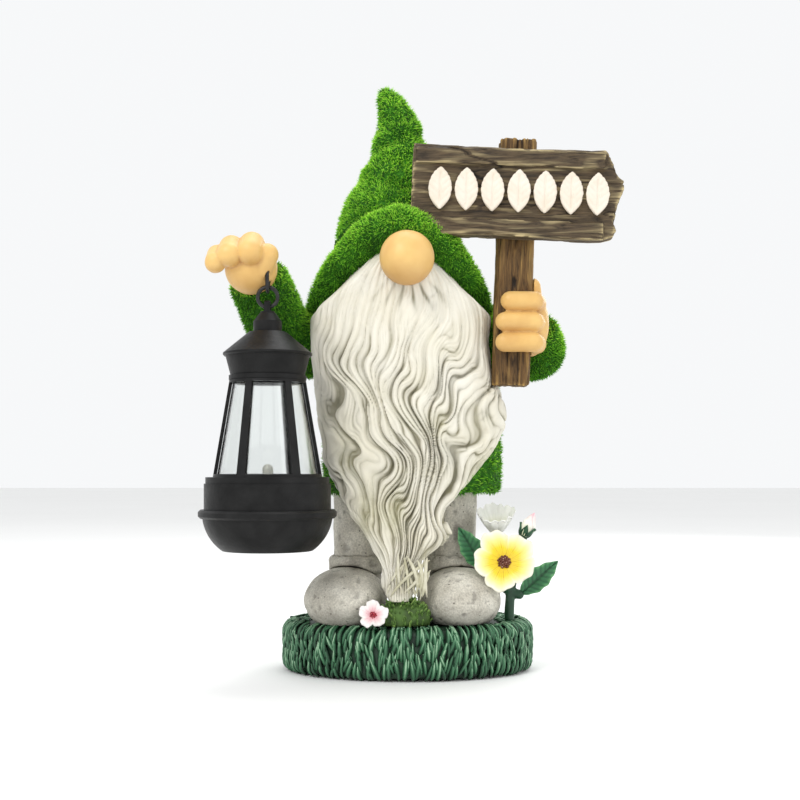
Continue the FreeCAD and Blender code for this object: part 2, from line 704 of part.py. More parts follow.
def make_head():
    below = block("head_flat", 4 * d.head_half_width, 4 * d.head_half_depth, 2 * d.head_height,
                  x=d.head_x - 2 * d.head_half_width, y=-2 * d.head_half_depth, z=shoulder_z - 2 * d.head_height)
    chain_cut("head", head_egg("head_form"), below, neck_dowel("head_neck_hole", d.rod_fit),
              nose_peg("head_nose_hole", d.rod_fit))
    part("neck_dowel", neck_dowel("neck_dowel_bar"))


def nose_ball(name, extra=0):
    return primitive("Sphere", name, {"Radius": d.nose_radius + extra}, x=d.nose_x, y=d.nose_y, z=nose_z)


def make_nose():
    chain_cut("nose", nose_ball("nose_form"), nose_peg("nose_hole", d.rod_fit))
    part("nose_peg", nose_peg("nose_peg_bar"))


# share of the height over the roll's centre, x, y, radius where the roll's is CROWN_ROLL, tilt
CROWN_ROLL = 35
CROWN_SHAPE = [
    (0.076, -6, 0.5, 36.5, -30), (0.205, -6, 2.5, 35, -16), (0.31, -5.4, 4.2, 29.6, -6), (0.445, -5.5, 4.6, 25.6, -2),
    (0.54, -4.3, 4.8, 21.4, 0), (0.636, -3.9, 5, 17, 0), (0.732, -3.75, 5.2, 13.4, 0), (0.828, -4.6, 5.5, 10.4, 0),
    (0.909, -6.9, 5.8, 8.3, 0), (0.966, -9.3, 6, 5.8, 0), (1, -10.8, 6.2, 2.2, 0),
]


def roll_form(name, extra=0):
    sizes = {"Radius1": d.roll_radius, "Radius2": d.roll_tube + extra}
    return primitive("Torus", name, sizes, x=d.roll_x, y=d.roll_y, z=roll_z, axis=X_AXIS, angle=d.roll_tilt)


def crown_form(name, extra=0.0):
    height = number("hat_height")
    scale = number("roll_radius") / CROWN_ROLL
    sections = [(x, y, share * height, radius * scale + extra, radius * scale + extra, tilt)
                for share, x, y, radius, tilt in CROWN_SHAPE]
    return put(lofted(name, sections), z=roll_z)


def make_hat():
    """The hat's cone, and the rolled brim round its foot."""
    gap = number("glue_gap")
    chain_cut("hat_brim", roll_form("hat_roll"), coat_form("brim_coat_room", gap),
              head_egg("brim_head_room", d.glue_gap), nose_ball("brim_nose_room", d.glue_gap),
              sleeve_form("brim_sleeve_left_room", "left", gap), sleeve_form("brim_sleeve_right_room", "right", gap),
              nose_peg("brim_peg_room", d.rod_fit))
    chain_cut("hat", crown_form("hat_crown"), roll_form("hat_roll_room", d.glue_gap),
              head_egg("hat_head_room", d.glue_gap), coat_form("hat_coat_room", gap),
              nose_ball("hat_nose_room", d.glue_gap))


# ---- beard -----------------------------------------------------------------------------------------------

# share of the height over the tip, x, y, share of half the width, share of half the thickness
BEARD_SHAPE = [
    (0, -4, -33, 0.085, 0.16), (0.06, -4, -31, 0.15, 0.24), (0.12, -3.5, -28, 0.25, 0.31),
    (0.18, -3, -26, 0.38, 0.4), (0.245, -5.5, -23.5, 0.5, 0.46), (0.31, -3.6, -21, 0.67, 0.58),
    (0.375, -1.8, -18, 0.825, 0.75), (0.445, 0.8, -15.5, 0.936, 0.9), (0.535, 2.3, -14, 1, 1),
    (0.625, -1.7, -14, 0.951, 1), (0.72, -4, -14, 0.936, 1), (0.86, -2.5, -14, 0.915, 1),
    (0.95, -3, -19, 0.72, 0.8), (1, -3, -26, 0.5, 0.5),
]


def beard_form(name, extra=0.0):
    low = number("base_height") + number("beard_tip_rise")
    high = shoulder_z.number + number("beard_rise")
    sections = []
    for share, x, y, wide, deep in BEARD_SHAPE:
        half_x = number("beard_half_width") * wide + extra
        half_y = number("beard_half_depth") * deep + extra
        sections.append((x, y, low + share * (high - low), half_x, half_y))
    return lofted(name, sections)


def make_beard(keepouts):
    gap = d.glue_gap
    small = number("glue_gap")
    tools = [roll_form("beard_roll_room", gap), crown_form("beard_crown_room", small),
             coat_form("beard_coat_room", small), head_egg("beard_head_room", gap),
             nose_ball("beard_nose_room", gap), nose_peg("beard_peg_room", d.rod_fit)]
    tools += [sleeve_form(f"beard_sleeve_{side}_room", side, small) for side in ("left", "right")]
    tools += keepouts
    tools.append(post_form("beard_post_room", gap))
    tools.append(tuft_egg("beard_tuft_room", gap))
    return chain_cut("beard", beard_form("beard_form"), *tools)


# ---- sleeves and hands -----------------------------------------------------------------------------------

def sleeve_points(side):
    """Shoulder, elbow and wrist, with the sleeve's radius at each."""
    high = shoulder_z.number
    edge = number("coat_half_width") * 0.82
    middle = number("coat_x")
    if side == "left":
        points = [vec(middle - edge, 2, high - 28), vec(middle - edge - 26, 4, high - 33),
                  vec(number("hand_left_x") + 1.5, number("hand_left_y") + 11, high - 2)]
        wrist = number("wrist_radius")
    else:
        points = [vec(middle + edge, 2, high - 26), vec(middle + edge + 24.5, 4, high - 33),
                  vec(number("post_x") + 12.5, number("post_y") + 12, hand_right_z.number - 1)]
        wrist = number("wrist_radius_right")
    return points, [number("shoulder_radius"), number("elbow_radius"), wrist]


def sleeve_form(name, side, extra=0.0):
    points, radii = sleeve_points(side)
    along = (points[2] - points[1]).normalize()
    inward = (points[0] - points[1]).normalize()
    stretched = [points[0] + inward * extra, points[1], points[2] + along * extra]
    return shaped(name, limb(stretched, [radius + extra for radius in radii]))


def stub_form(name, side, extra=0.0):
    """The hand's round stub, which sits in the end of the sleeve."""
    points, _ = sleeve_points(side)
    along = (points[2] - points[1]).normalize()
    depth = number("stub_depth") + extra
    length = depth + number("stub_radius")
    start = points[2] - along * depth
    return shaped(name, Part.makeCylinder(number("stub_radius") + extra, length, start, along))


def make_sleeves():
    gap = number("glue_gap")
    for side in ("left", "right"):
        dowel = shoulder_dowels(f"sleeve_{side}_hole", d.rod_fit)
        tools = [coat_form(f"sleeve_{side}_coat_room", gap), stub_form(f"sleeve_{side}_socket", side, gap)]
        tools.append(dowel[0] if side == "left" else dowel[1])
        tools.append(roll_form(f"sleeve_{side}_roll_room", d.glue_gap))
        if side == "right":
            tools.append(post_form("sleeve_post_room", d.glue_gap))
        chain_cut(f"sleeve_{side}", sleeve_form(f"sleeve_{side}_form", side), *tools)
    left, right = shoulder_dowels("shoulder_dowel")
    part("shoulder_dowel_left", left)
    part("shoulder_dowel_right", right)


def make_hand_left():
    """A fist seen from its knuckles: a palm with three fingers curled over it and a thumb below."""
    centre = vec(number("hand_left_x"), number("hand_left_y"), hand_left_z)
    palm = number("palm_radius")
    finger = number("finger_radius")
    pieces = [Part.makeSphere(palm, centre)]
    fingers = [(1, -1, 10, 1.06), (-8.5, -1, 8.8, 1), (-15.2, 0.5, 5.5, 0.85)]
    for x, y, z, size in fingers:
        tip = centre + Vector(x, y - 11, z - 4.5)
        knuckle = centre + Vector(x, y - 4, z)
        pieces.append(capsule(knuckle, tip, finger * size))
    pieces.append(capsule(centre + Vector(5, -6, -2), centre + Vector(8.5, -8, 5), finger * 0.9))
    body = shaped("hand_left_form", pieces[0].multiFuse(pieces[1:]))
    trimmed = doc.addObject("Part::Cut", "hand_left_trim")
    trimmed.Base = body
    trimmed.Tool = sleeve_form("hand_left_sleeve_room", "left", number("glue_gap"))
    whole = fused("hand_left_whole", trimmed, stub_form("hand_left_stub", "left"))
    chain_cut("hand_left", whole, hook_form("hand_left_hook_hole", number("pin_fit")))


def hook_form(name, extra=0.0):
    """A U of wire in the plane across the ring; its two legs go up into the fist."""
    bend = number("hook_bend")
    centre = vec(lantern_x, lantern_y, hook_z + bend)
    front = centre + Vector(0, -bend, 0)
    back = centre + Vector(0, bend, 0)
    rise = Vector(0, 0, number("hook_leg"))
    low = centre + Vector(0, 0, -bend)
    edges = [Part.makeLine(front + rise, front), Part.Arc(front, low, back).toShape(),
             Part.makeLine(back, back + rise)]
    return shaped(name, wire_along(edges, number("wire_radius") + extra))


def make_hand_right():
    """A fist round the post: three fingers across its front, a palm beside it and a thumb up behind."""
    post_side = number("post_x") + number("post_width") / 2
    front = number("post_y") - number("post_depth") / 2
    z = hand_right_z.number
    radius = number("grip_radius")
    palm = Part.makeSphere(1)
    shape_matrix = FreeCAD.Matrix()
    shape_matrix.scale(9, 11, 15.5)
    palm = palm.transformGeometry(shape_matrix)
    palm.translate(Vector(post_side + 1, number("post_y") + 2, z))
    pieces = [palm]
    for step in (-1, 0, 1):
        level = z + step * number("grip_pitch")
        reach = -3.5 if step < 1 else -1
        pieces.append(limb([Vector(post_side + 4, number("post_y"), level),
                            Vector(post_side + 1.5, front - radius * 0.7, level),
                            Vector(number("post_x") + reach, front - radius * 0.95, level)],
                           [radius, radius, radius * 0.97]))
        pieces.append(Part.makeSphere(radius * 0.97, Vector(number("post_x") + reach, front - radius * 0.95, level)))
    pieces.append(capsule(Vector(post_side + 3, number("post_y") + 1, z + 8),
                          Vector(post_side + 1.5, number("post_y") - 1, z + 18), radius * 0.9))
    trimmed = doc.addObject("Part::Cut", "hand_right_trim")
    trimmed.Base = shaped("hand_right_form", pieces[0].multiFuse(pieces[1:]))
    trimmed.Tool = sleeve_form("hand_right_sleeve_room", "right", number("glue_gap"))
    whole = fused("hand_right_whole", trimmed, stub_form("hand_right_stub", "right"))
    chain_cut("hand_right", whole, post_form("hand_right_post_room", d.glue_gap))


# ---- sign --------------------------------------------------------------------------------------------------

def post_form(name, extra=0):
    """The post as a plain leaning bar, grown by extra on every side."""
    bar = new_body(name)
    sketch = new_sketch(bar, name + "_plan", offset=-as_size(extra))
    half_x = d.post_width / 2 + extra
    half_y = d.post_depth / 2 + extra
    outline(sketch, [(-half_x, -half_y), (half_x, -half_y), (half_x, half_y), (-half_x, half_y)])
    pad(bar, sketch, d.post_length + 2 * as_size(extra), name + "_bar")
    return put(bar, x=d.post_x, y=d.post_y, z=post_z, axis=Y_AXIS, angle=d.post_lean)


def round_long_edges(body, radius, name):
    doc.recompute()
    last = body.Tip
    names = [f"Edge{i}" for i, e in enumerate(last.Shape.Edges, start=1)
             if abs(e.tangentAt(e.FirstParameter).z) > 0.99 and e.Length > 10]
    rounded = body.newObject("PartDesign::Fillet", name)
    rounded.Base = (last, names)
    rounded.setExpression("Radius", radius.text)


def peg_bars(name, extra=0):
    back = d.post_y - d.post_depth / 2 + d.peg_length / 2
    return [rod(f"{name}_{i}", d.peg_radius + extra, d.peg_length + 2 * as_size(extra), x=d.board_x, y=back + extra,
                z=board_z + shift * d.peg_pitch / 2, axis=X_AXIS, angle=90) for i, shift in enumerate((-1, 1))]


def make_post():
    bar = post_form("sign_post_bar")
    round_long_edges(bar, d.post_corner, "sign_post_round")
    return chain_cut("sign_post", bar, *peg_bars("post_peg_hole", d.rod_fit))


BOARD_EDGE = [
    (-0.5, -0.5), (0.34, -0.51), (0.4, -0.5), (0.45, -0.46), (0.466, -0.38), (0.454, -0.28), (0.466, -0.1),
    (0.494, 0.08), (0.49, 0.17), (0.465, 0.21), (0.42, 0.45), (0.4, 0.5), (0, 0.47), (-0.5, 0.5),
]


def make_board():
    """A plank with a raised rail along its top and its foot; the field between them lies deeper."""
    body = new_body("sign_board_plank")
    width = d.board_width
    height = d.board_height
    field = d.board_thickness - d.board_sink
    sketch = new_sketch(body, "sign_board_outline", "XZ_Plane")
    outline(sketch, [(u * width, v * height) for u, v in BOARD_EDGE])
    pad(body, sketch, field, "sign_board_field")
    half = height / 2
    rails = (("top", 0.4, half * 0.92 - d.rail_height, half * 0.92), ("foot", 0.4, -half, d.rail_height - half))
    for name, end, low, high in rails:
        plan = new_sketch(body, f"sign_board_{name}_plan", "XZ_Plane", field)
        outline(plan, [(-0.49 * width, low), (end * width, low), (end * width, high), (-0.49 * width, high)])
        pad(body, plan, d.board_sink, f"sign_board_{name}_rail")
    put(body, x=d.board_x, y=d.post_y - d.post_depth / 2, z=board_z, axis=Y_AXIS, angle=d.board_tilt)
    return chain_cut("sign_board", body, roll_form("board_roll_room", d.glue_gap),
                     crown_form("board_crown_room", number("glue_gap")),
                     *peg_bars("board_peg_hole", d.rod_fit))


def lens(sketch, length, side_radius, x=0, y=0):
    """A leaf outline: two arcs that meet in points above and below (x, y)."""
    half = length / 2
    outline(sketch, [(x, y - half), (x, y + half)], {0: (side_radius, 1), 1: (side_radius, 1)})


def make_ornaments():
    body = new_body("sign_leaf_row")
    field = d.board_thickness - d.board_sink
    sketch = new_sketch(body, "sign_leaf_outline", "XZ_Plane", field)
    first = -(d.ornament_count - 1) / 2 * d.ornament_pitch
    lens(sketch, d.ornament_length, d.ornament_round, first)
    leaf = pad(body, sketch, d.ornament_rise, "sign_leaf")
    doc.recompute()
    row = body.newObject("PartDesign::LinearPattern", "sign_leaves")
    row.Originals = [leaf]
    row.Direction = (sketch, ["H_Axis"])
    row.setExpression("Length", ((d.ornament_count - 1) * d.ornament_pitch).text)
    row.setExpression("Occurrences", d.ornament_count.text)
    body.Tip = row
    put(body, x=d.board_x, y=d.post_y - d.post_depth / 2, z=board_z, axis=Y_AXIS, angle=d.board_tilt)
    part("sign_ornaments", body)


def make_pegs():
    part("sign_pegs", fused("sign_peg_pair", *peg_bars("sign_peg")))


# ---- flowers, leaves and grass -------------------------------------------------------------------------

def tuft_egg(name, extra=0):
    low = base_top - d.tuft_height / 4
    half_height = d.tuft_height * 1.25 / 2
    return egg(name, d.tuft_half_width + extra, d.tuft_half_depth + extra, half_height + extra,
               x=d.tuft_x, y=d.tuft_y, z=low + half_height)


def stem_form(name, extra=0.0):
    """The stems: one trunk out of the base, with a branch to each flower, bud and leaf."""
    radius = number("stem_radius") + extra
    low = number("base_height")
    foot = vec(d.stem_x, d.stem_y, low - 2)
    fork = vec(d.stem_x, d.stem_y, low + 14)
    ends = [vec(d.flower_x, d.flower_y + 5, low + d.flower_rise),
            vec(d.cup_x, d.cup_y, low + d.cup_rise - 1),
            vec(d.bud_x, d.bud_y, low + d.bud_rise + 1),
            vec(d.stem_x - 12, d.stem_y - 2, low + 25),
            vec(d.stem_x + 5, d.stem_y, low + 13)]
    pieces = [capsule(foot, fork, radius)]
    pieces += [capsule(fork, end, radius) for end in ends]
    return shaped(name, pieces[0].multiFuse(pieces[1:]))


def make_stems(base_body):
    chain_cut("flower_stems", stem_form("stems"), base_body,
              boot_egg("stem_boot_room", d.boot_x_right, d.glue_gap),
              ankle("stem_leg_room", d.leg_x_right, d.glue_gap))


def flower_head(petals_name, heart_name, radius, heart, lean, place):
    """Five round petals and a domed heart, made facing up and then leant towards -Y."""
    thick = number("petal_thickness")
    petal = radius * 0.42
    pieces = [Part.makeCylinder(radius * 0.5, thick)]
    for i in range(5):
        angle = math.radians(90 + 72 * i)
        centre = Vector(math.cos(angle), math.sin(angle), 0) * (radius - petal)
        pieces.append(Part.makeCylinder(petal, thick, centre))
    petals = pieces[0].multiFuse(pieces[1:]).removeSplitter()
    dome = Part.makeSphere(heart, Vector(0, 0, thick), Z_AXIS, 0, 90, FULL_TURN)
    return [put(shaped(name, shape), axis=X_AXIS, angle=lean, **place)
            for name, shape in ((petals_name, petals), (heart_name, dome))]


def bud_profile(name, points):
    return turned(name, points, x=d.bud_x, y=d.bud_y, z=base_top + d.bud_rise, axis=Y_AXIS, angle=d.bud_lean)


def make_bud(stem_room):
    gap = d.glue_gap
    foot = d.bud_radius * 0.7
    waist = d.bud_length * 0.4
    bud = bud_profile("bud_form", [(0, 0), (foot, 0), (d.bud_radius, waist), (0.4, d.bud_length), (0, d.bud_length)])
    room = bud_profile("bud_room", [(0, -gap), (foot + gap, -gap), (d.bud_radius + gap, waist),
                                    (0, d.bud_length + gap)])
    calyx = bud_profile("calyx_form", [(0, -1), (d.bud_radius * 0.5, -1), (d.bud_radius + 0.9, d.calyx_height),
                                       (0, d.calyx_height)])
    chain_cut("flower_bud", bud, stem_room)
    chain_cut("bud_calyx", calyx, stem_room, room)


def make_flowers():
    small = number("glue_gap")
    stem_room = stem_form("stem_room", small)
    boot_room = boot_egg("flower_boot_room", d.boot_x_right, d.glue_gap)
    leg_room = ankle("flower_leg_room", d.leg_x_right, d.glue_gap)
    place = {"x": d.flower_x, "y": d.flower_y + d.petal_thickness, "z": base_top + d.flower_rise}
    petals, heart = flower_head("main_flower_form", "main_flower_dome", number("flower_radius"),
                                number("flower_heart"), 68, place)
    chain_cut("main_flower_petals", petals, stem_room, boot_room, leg_room)
    chain_cut("main_flower_heart", heart, stem_room)
    lip = d.cup_radius - d.cup_wall
    cup = turned("cup_flower_form", [
        (0, 0), (d.cup_radius * 0.35, 0), (d.cup_radius * 0.85, d.cup_height * 0.5), (d.cup_radius, d.cup_height),
        (lip, d.cup_height), (d.cup_radius * 0.85 - d.cup_wall, d.cup_height * 0.55), (0, d.cup_height * 0.4)],
        x=d.cup_x, y=d.cup_y, z=base_top + d.cup_rise, axis=X_AXIS, angle=25)
    chain_cut("cup_flower_petals", cup, stem_room)
    make_bud(stem_room)
    for side, x, y, rise, angle in (("left", -12, -2, 25, -32), ("right", 5, 0, 13, 48)):
        body = new_body(f"leaf_{side}_blade")
        sketch = new_sketch(body, f"leaf_{side}_outline", "XZ_Plane")
        lens(sketch, d.leaf_length, d.leaf_round, 0, d.leaf_length / 2)
        pad(body, sketch, d.leaf_thickness, f"leaf_{side}_plate")
        put(body, x=d.stem_x + x, y=d.stem_y + y, z=base_top + rise, axis=Y_AXIS, angle=angle)
        chain_cut(f"leaf_{side}", body, stem_room, leg_room, boot_room)


def make_small_growth(base_body):
    """The blossom and the tuft of grass between the boots."""
    place = {"x": d.blossom_x, "y": d.blossom_y, "z": base_top + d.blossom_rise}
    petals, heart = flower_head("small_blossom_form", "small_blossom_dome", number("blossom_radius"),
                                number("blossom_heart"), number("blossom_lean"), place)
    boots = [boot_egg(f"growth_boot_room_{side}", x, d.glue_gap)
             for side, x in (("left", d.boot_x_left), ("right", d.boot_x_right))]
    blossom = chain_cut("small_blossom_petals", petals, base_body, *boots)
    part("small_blossom_heart", heart)
    chain_cut("grass_tuft", tuft_egg("tuft_form"), base_body, *boots, blossom)


# ---- hook, ring and lantern ------------------------------------------------------------------------------
# The lantern is drawn about its own axis with its foot at height 0, and then hung in its place.

def hang(name, made):
    part(name, made)
    return put(made, x=lantern_x, y=lantern_y, z=lantern_z)


def cut_and_hang(name, base, *tools):
    return hang(name, chain_cut(name, base, *tools))


def make_ring():
    part("hand_hook", hook_form("hand_hook_wire"))
    sizes = {"Radius1": d.ring_radius, "Radius2": d.wire_radius}
    part("hanger_ring", primitive("Torus", "hanger_ring_wire", sizes, x=lantern_x, y=lantern_y, z=ring_z,
                                  axis=X_AXIS, angle=90))


PILLAR_ANGLES = (0, 120, 240)
door_length = d.cell_count * d.cell_thickness + d.contact_thickness + d.spring_length - 2 * d.door_gap
door_width = 2 * (d.cell_radius + d.cell_room)
cell_z = 2 * d.barrel_radius + d.cell_clearance + d.cell_radius
tray_height = cell_z + d.cell_radius + d.cell_room + d.tray_wall - d.foot_wall


def around_pillars(name, radius, length, z):
    made = []
    for angle in PILLAR_ANGLES:
        turn = math.radians(angle)
        made.append(rod(f"{name}_{angle}", radius, length, x=d.pillar_circle * math.cos(turn),
                        y=d.pillar_circle * math.sin(turn), z=z))
    return made


def door_opening(name, extra, height, z=0):
    return block(name, door_length + 2 * extra, door_width + 2 * extra, height,
                 x=d.door_x - door_length / 2 - extra, y=-door_width / 2 - extra, z=z)


barrel_x = d.door_x - door_length / 2 + d.barrel_radius
thumb_slot_x = d.thumb_width + 2 * d.switch_gap
thumb_slot_y = d.thumb_length + d.switch_travel + 2 * d.switch_gap


def hinge_pins(name, extra=0):
    """The two short pins at the ends of the door's barrel, drawn as one bar."""
    length = door_width + 2 * d.pin_length + 2 * as_size(extra)
    return rod(name, d.pin_radius + extra, length, x=barrel_x, y=length / 2, z=d.barrel_radius,
               axis=X_AXIS, angle=90)


def make_bowl():
    inner = d.bowl_radius - d.shell_wall
    body = turned("lower_bowl_shell", [
        (0, 0), (d.foot_radius, 0), (d.bowl_radius, d.bowl_height), (inner, d.bowl_height),
        (d.foot_radius - 0.6, d.foot_wall), (0, d.foot_wall)],
        {1: (d.bowl_round, -1), 3: (d.bowl_round - d.shell_wall, 1)})
    slot = block("switch_slot", thumb_slot_x, thumb_slot_y, 3 * d.foot_wall,
                 x=d.switch_x - thumb_slot_x / 2, y=-thumb_slot_y / 2, z=-d.foot_wall)
    opening = door_opening("door_hole", d.door_gap, 3 * d.foot_wall, -d.foot_wall)
    shafts = around_pillars("bowl_screw_hole", d.screw_radius + 0.2, 3 * d.foot_wall, -d.foot_wall)
    heads = around_pillars("bowl_screw_sink", d.screw_head_radius + 0.2, 2 * d.foot_wall - d.screw_seat,
                           -d.foot_wall)
    cut_and_hang("lower_bowl", body, slot, opening, *shafts, *heads, hinge_pins("hinge_pin_hole", d.pin_fit))


def make_band():
    low = d.bowl_radius - d.shell_wall
    side = d.band_radius - d.shell_wall
    seat = d.rim_radius - d.shell_wall
    ledge = seat - d.ledge_width
    soft = d.bead_height / 4
    body = turned("base_band_shell", [
        (low, bead_z), (d.bead_radius - soft, bead_z), (d.bead_radius, bead_z + soft),
        (d.bead_radius, band_z - soft), (d.bead_radius - soft, band_z), (d.band_radius, band_z),
        (d.band_radius, rim_z), (d.rim_radius, rim_z), (d.rim_radius, deck_top), (seat, deck_top),
        (seat, deck_z), (ledge, deck_z), (ledge, deck_z - 1), (side, rim_z - d.ledge_width), (side, band_z),
        (low, bead_z + d.shell_wall)])
    hang("base_band", body)


def make_deck():
    disc = rod("deck_disc", d.rim_radius - d.shell_wall - d.seat_gap, d.deck_thickness, z=deck_z)
    pillars = around_pillars("deck_pillar", d.pillar_radius, deck_z - d.foot_wall, d.foot_wall)
    standoffs = [rod(f"deck_standoff_{side}", d.standoff_radius, d.disc_drop, x=x, z=deck_z - d.disc_drop)
                 for side, x in (("left", -d.standoff_x), ("right", d.standoff_x))]
    whole = fused("deck_whole", disc, *pillars, *standoffs)
    holes = around_pillars("deck_screw_hole", d.screw_radius, d.screw_length, d.foot_wall)
    lamp_hole = rod("deck_lamp_hole", d.lamp_radius + d.seat_gap, 3 * d.deck_thickness, z=deck_z - d.deck_thickness)
    cut_and_hang("deck", whole, *holes, lamp_hole)


def make_screws():
    """Three screws, each with its head sunk in the foot and its shank up in a pillar."""
    screws = []
    low = d.foot_wall - d.screw_seat - d.screw_head_height
    for angle in PILLAR_ANGLES:
        turn = math.radians(angle)
        place = {"x": d.pillar_circle * math.cos(turn), "y": d.pillar_circle * math.sin(turn)}
        screws.append(rod(f"screw_head_{angle}", d.screw_head_radius, d.screw_head_height, z=low, **place))
        screws.append(rod(f"screw_shank_{angle}", d.screw_radius, d.screw_length - 2,
                          z=low + d.screw_head_height, **place))
    hang("housing_screws", fused("screw_set", *screws))


def make_pane():
    foot = d.pane_foot_radius
    top = d.pane_top_radius
    wall = d.pane_wall
    hang("lantern_pane", turned("pane_cone", [(foot - wall, deck_top), (foot, deck_top), (top, pane_top),
                                              (top - wall, pane_top)]))


def make_cage():
    """Two rings round the pane, joined by bars that follow its slope."""
    slope = (d.pane_foot_radius - d.pane_top_radius) / d.pane_height
    foot = d.pane_foot_radius + d.seat_gap
    top = d.pane_top_radius + d.seat_gap
    body = new_body("post_cage_frame")
    body.AllowCompound = True
    sketch = new_sketch(body, "cage_rings", "XZ_Plane")
    ring = d.cage_ring
    outline(sketch, [(foot, deck_top), (foot + d.bar_depth, deck_top),
                     (foot + d.bar_depth - slope * ring, deck_top + ring), (foot - slope * ring, deck_top + ring)])
    outline(sketch, [(top + slope * ring, pane_top - ring), (top + d.bar_depth + slope * ring, pane_top - ring),
                     (top + d.bar_depth, pane_top), (top, pane_top)])
    spin = body.newObject("PartDesign::Revolution", "cage_rings_spin")
    spin.Profile = sketch
    spin.ReferenceAxis = (sketch, ["V_Axis"])
    spin.Angle = FULL_TURN
    ends = []
    for name, inner, width, level in (("foot", foot, d.bar_foot_width, deck_top),
                                      ("top", top, d.bar_top_width, pane_top)):
        plan = new_sketch(body, f"cage_bar_{name}", offset=level)
        outline(plan, [(inner, -width / 2), (inner + d.bar_depth, -width / 2), (inner + d.bar_depth, width / 2),
                       (inner, width / 2)])
        ends.append(plan)
    doc.recompute()
    bar = body.newObject("PartDesign::AdditiveLoft", "cage_bar")
    bar.Profile = ends[0]
    bar.Sections = [ends[1]]
    doc.recompute()
    bars = body.newObject("PartDesign::PolarPattern", "cage_bars")
    bars.Originals = [bar]
    bars.Axis = (ends[0], ["N_Axis"])
    bars.Angle = FULL_TURN
    bars.setExpression("Occurrences", d.bar_count.text)
    body.Tip = bars
    part("post_cage", body)
    put(body, x=lantern_x, y=lantern_y, z=lantern_z, axis=Z_AXIS, angle=d.bar_turn)


def make_collar():
    inner = d.pane_top_radius - d.pane_wall
    step = pane_top + d.collar_step
    waist = d.collar_foot_radius - 0.8
    hang("collar", turned("collar_shell", [
        (inner, pane_top), (d.collar_foot_radius, pane_top), (d.collar_foot_radius, step), (waist, step),
        (d.collar_top_radius, roof_z), (d.collar_top_radius - d.shell_wall, roof_z),
        (waist - d.shell_wall, step + 1), (inner, step + 1)]))


def make_roof():
    wall = d.shell_wall
    bore = d.turret_radius - wall
    soft = 0.6
    body = turned("roof_shell", [
        (d.eave_radius - 2, roof_z), (d.eave_radius - soft, roof_z), (d.eave_radius, roof_z + soft),
        (d.eave_radius, cone_z), (d.roof_top_radius, turret_z), (d.turret_radius, turret_z),
        (d.turret_radius, flare_z), (d.flare_radius, knob_z), (0, knob_z), (0, flare_z - soft),
        (bore, flare_z - soft), (bore, turret_z - wall), (d.roof_top_radius - 1.4, turret_z - wall)])
    stud_hole = rod("roof_stud_hole", d.stud_radius + d.seat_gap, 3 * d.flare_height, z=flare_z - d.flare_height)
    cut_and_hang("roof", body, stud_hole)


def make_knob():
    top = knob_z + d.knob_height
    soft = d.knob_radius / 4
    body = turned("knob_form", [
        (0, knob_z - d.stud_length), (d.stud_radius, knob_z - d.stud_length), (d.stud_radius, knob_z),
        (d.knob_radius, knob_z), (d.knob_radius, top - soft), (d.knob_radius - soft, top), (0, top)])
    size = 2 * d.knob_radius
    flats = [block(f"knob_flat_{side}", size, 2 * size, 2 * d.knob_height, x=x, y=-size, z=knob_z + d.knob_collar)
             for side, x in (("left", -d.knob_tab / 2 - size), ("right", d.knob_tab / 2))]
    eye = rod("knob_eye", d.eye_radius, 2 * size, x=-size, z=top - d.eye_drop, axis=Y_AXIS, angle=90)
    cut_and_hang("knob", body, *flats, eye)
    low = flare_z - 0.6 - d.clip_thickness
    stud = rod("clip_hole", d.stud_radius, 3 * d.clip_thickness, z=low - d.clip_thickness)
    cut_and_hang("knob_clip", rod("clip_disc", d.clip_radius, d.clip_thickness, z=low), stud)


def make_lamp():
    """A clear domed diode on its board, its lens standing up through the deck."""
    low = deck_z - d.disc_drop
    flange = d.lamp_radius + d.lamp_flange
    dome = deck_top + d.lamp_rise - d.lamp_radius
    hang("lamp", turned("lamp_form", [
        (0, low), (flange, low), (flange, low + 1), (d.lamp_radius, low + 1), (d.lamp_radius, dome),
        (0, dome + d.lamp_radius)], {4: (d.lamp_radius, -1)}))
    part("circuit_board", rod("circuit_board_disc", d.disc_radius, d.disc_thickness, x=lantern_x, y=lantern_y,
                              z=lantern_z + low - d.disc_thickness))


cells_start_x = d.door_x - door_length / 2 - d.door_gap + d.contact_thickness


def make_battery():
    """A tray over the door's opening, with the cells lying along it between a contact and a spring."""
    outer = door_opening("tray_outer", d.door_gap + d.tray_wall, tray_height, d.foot_wall)
    inner = door_opening("tray_inner", d.door_gap, tray_height - d.tray_wall, d.foot_wall)
    cut_and_hang("battery_tray", outer, inner)
    cells = [rod(f"cell_{i}", d.cell_radius, d.cell_thickness, x=cells_start_x + i * d.cell_thickness, z=cell_z,
                 axis=Y_AXIS, angle=90) for i in range(int(number("cell_count")))]
    row = doc.addObject("Part::Compound", "cell_row")
    row.Links = cells
    hang("button_cells", row)
    part("battery_contact", block("contact_plate", d.contact_thickness, door_width * 0.7, d.cell_radius * 1.5,
                                  x=lantern_x + cells_start_x - d.contact_thickness,
                                  y=lantern_y - door_width * 0.35,
                                  z=lantern_z + cell_z - d.cell_radius * 0.6))
    spring_x = cells_start_x + d.cell_count * d.cell_thickness
    plate_x = spring_x + d.spring_length - 0.5
    base = block("spring_plate", 0.5, door_width * 0.7, d.cell_radius * 1.5, x=plate_x,
                 y=-door_width * 0.35, z=cell_z - d.cell_radius * 0.6)
    narrow = d.cell_radius * 0.25
    wide = d.cell_radius * 0.55
    coil = turned("spring_coil", [(narrow, 0), (narrow + 0.8, 0), (wide + 0.8, d.spring_length - 0.5),
                                   (wide, d.spring_length - 0.5)],
                  x=spring_x, z=cell_z, axis=Y_AXIS, angle=90)
    hang("battery_spring", fused("spring_whole", base, coil))


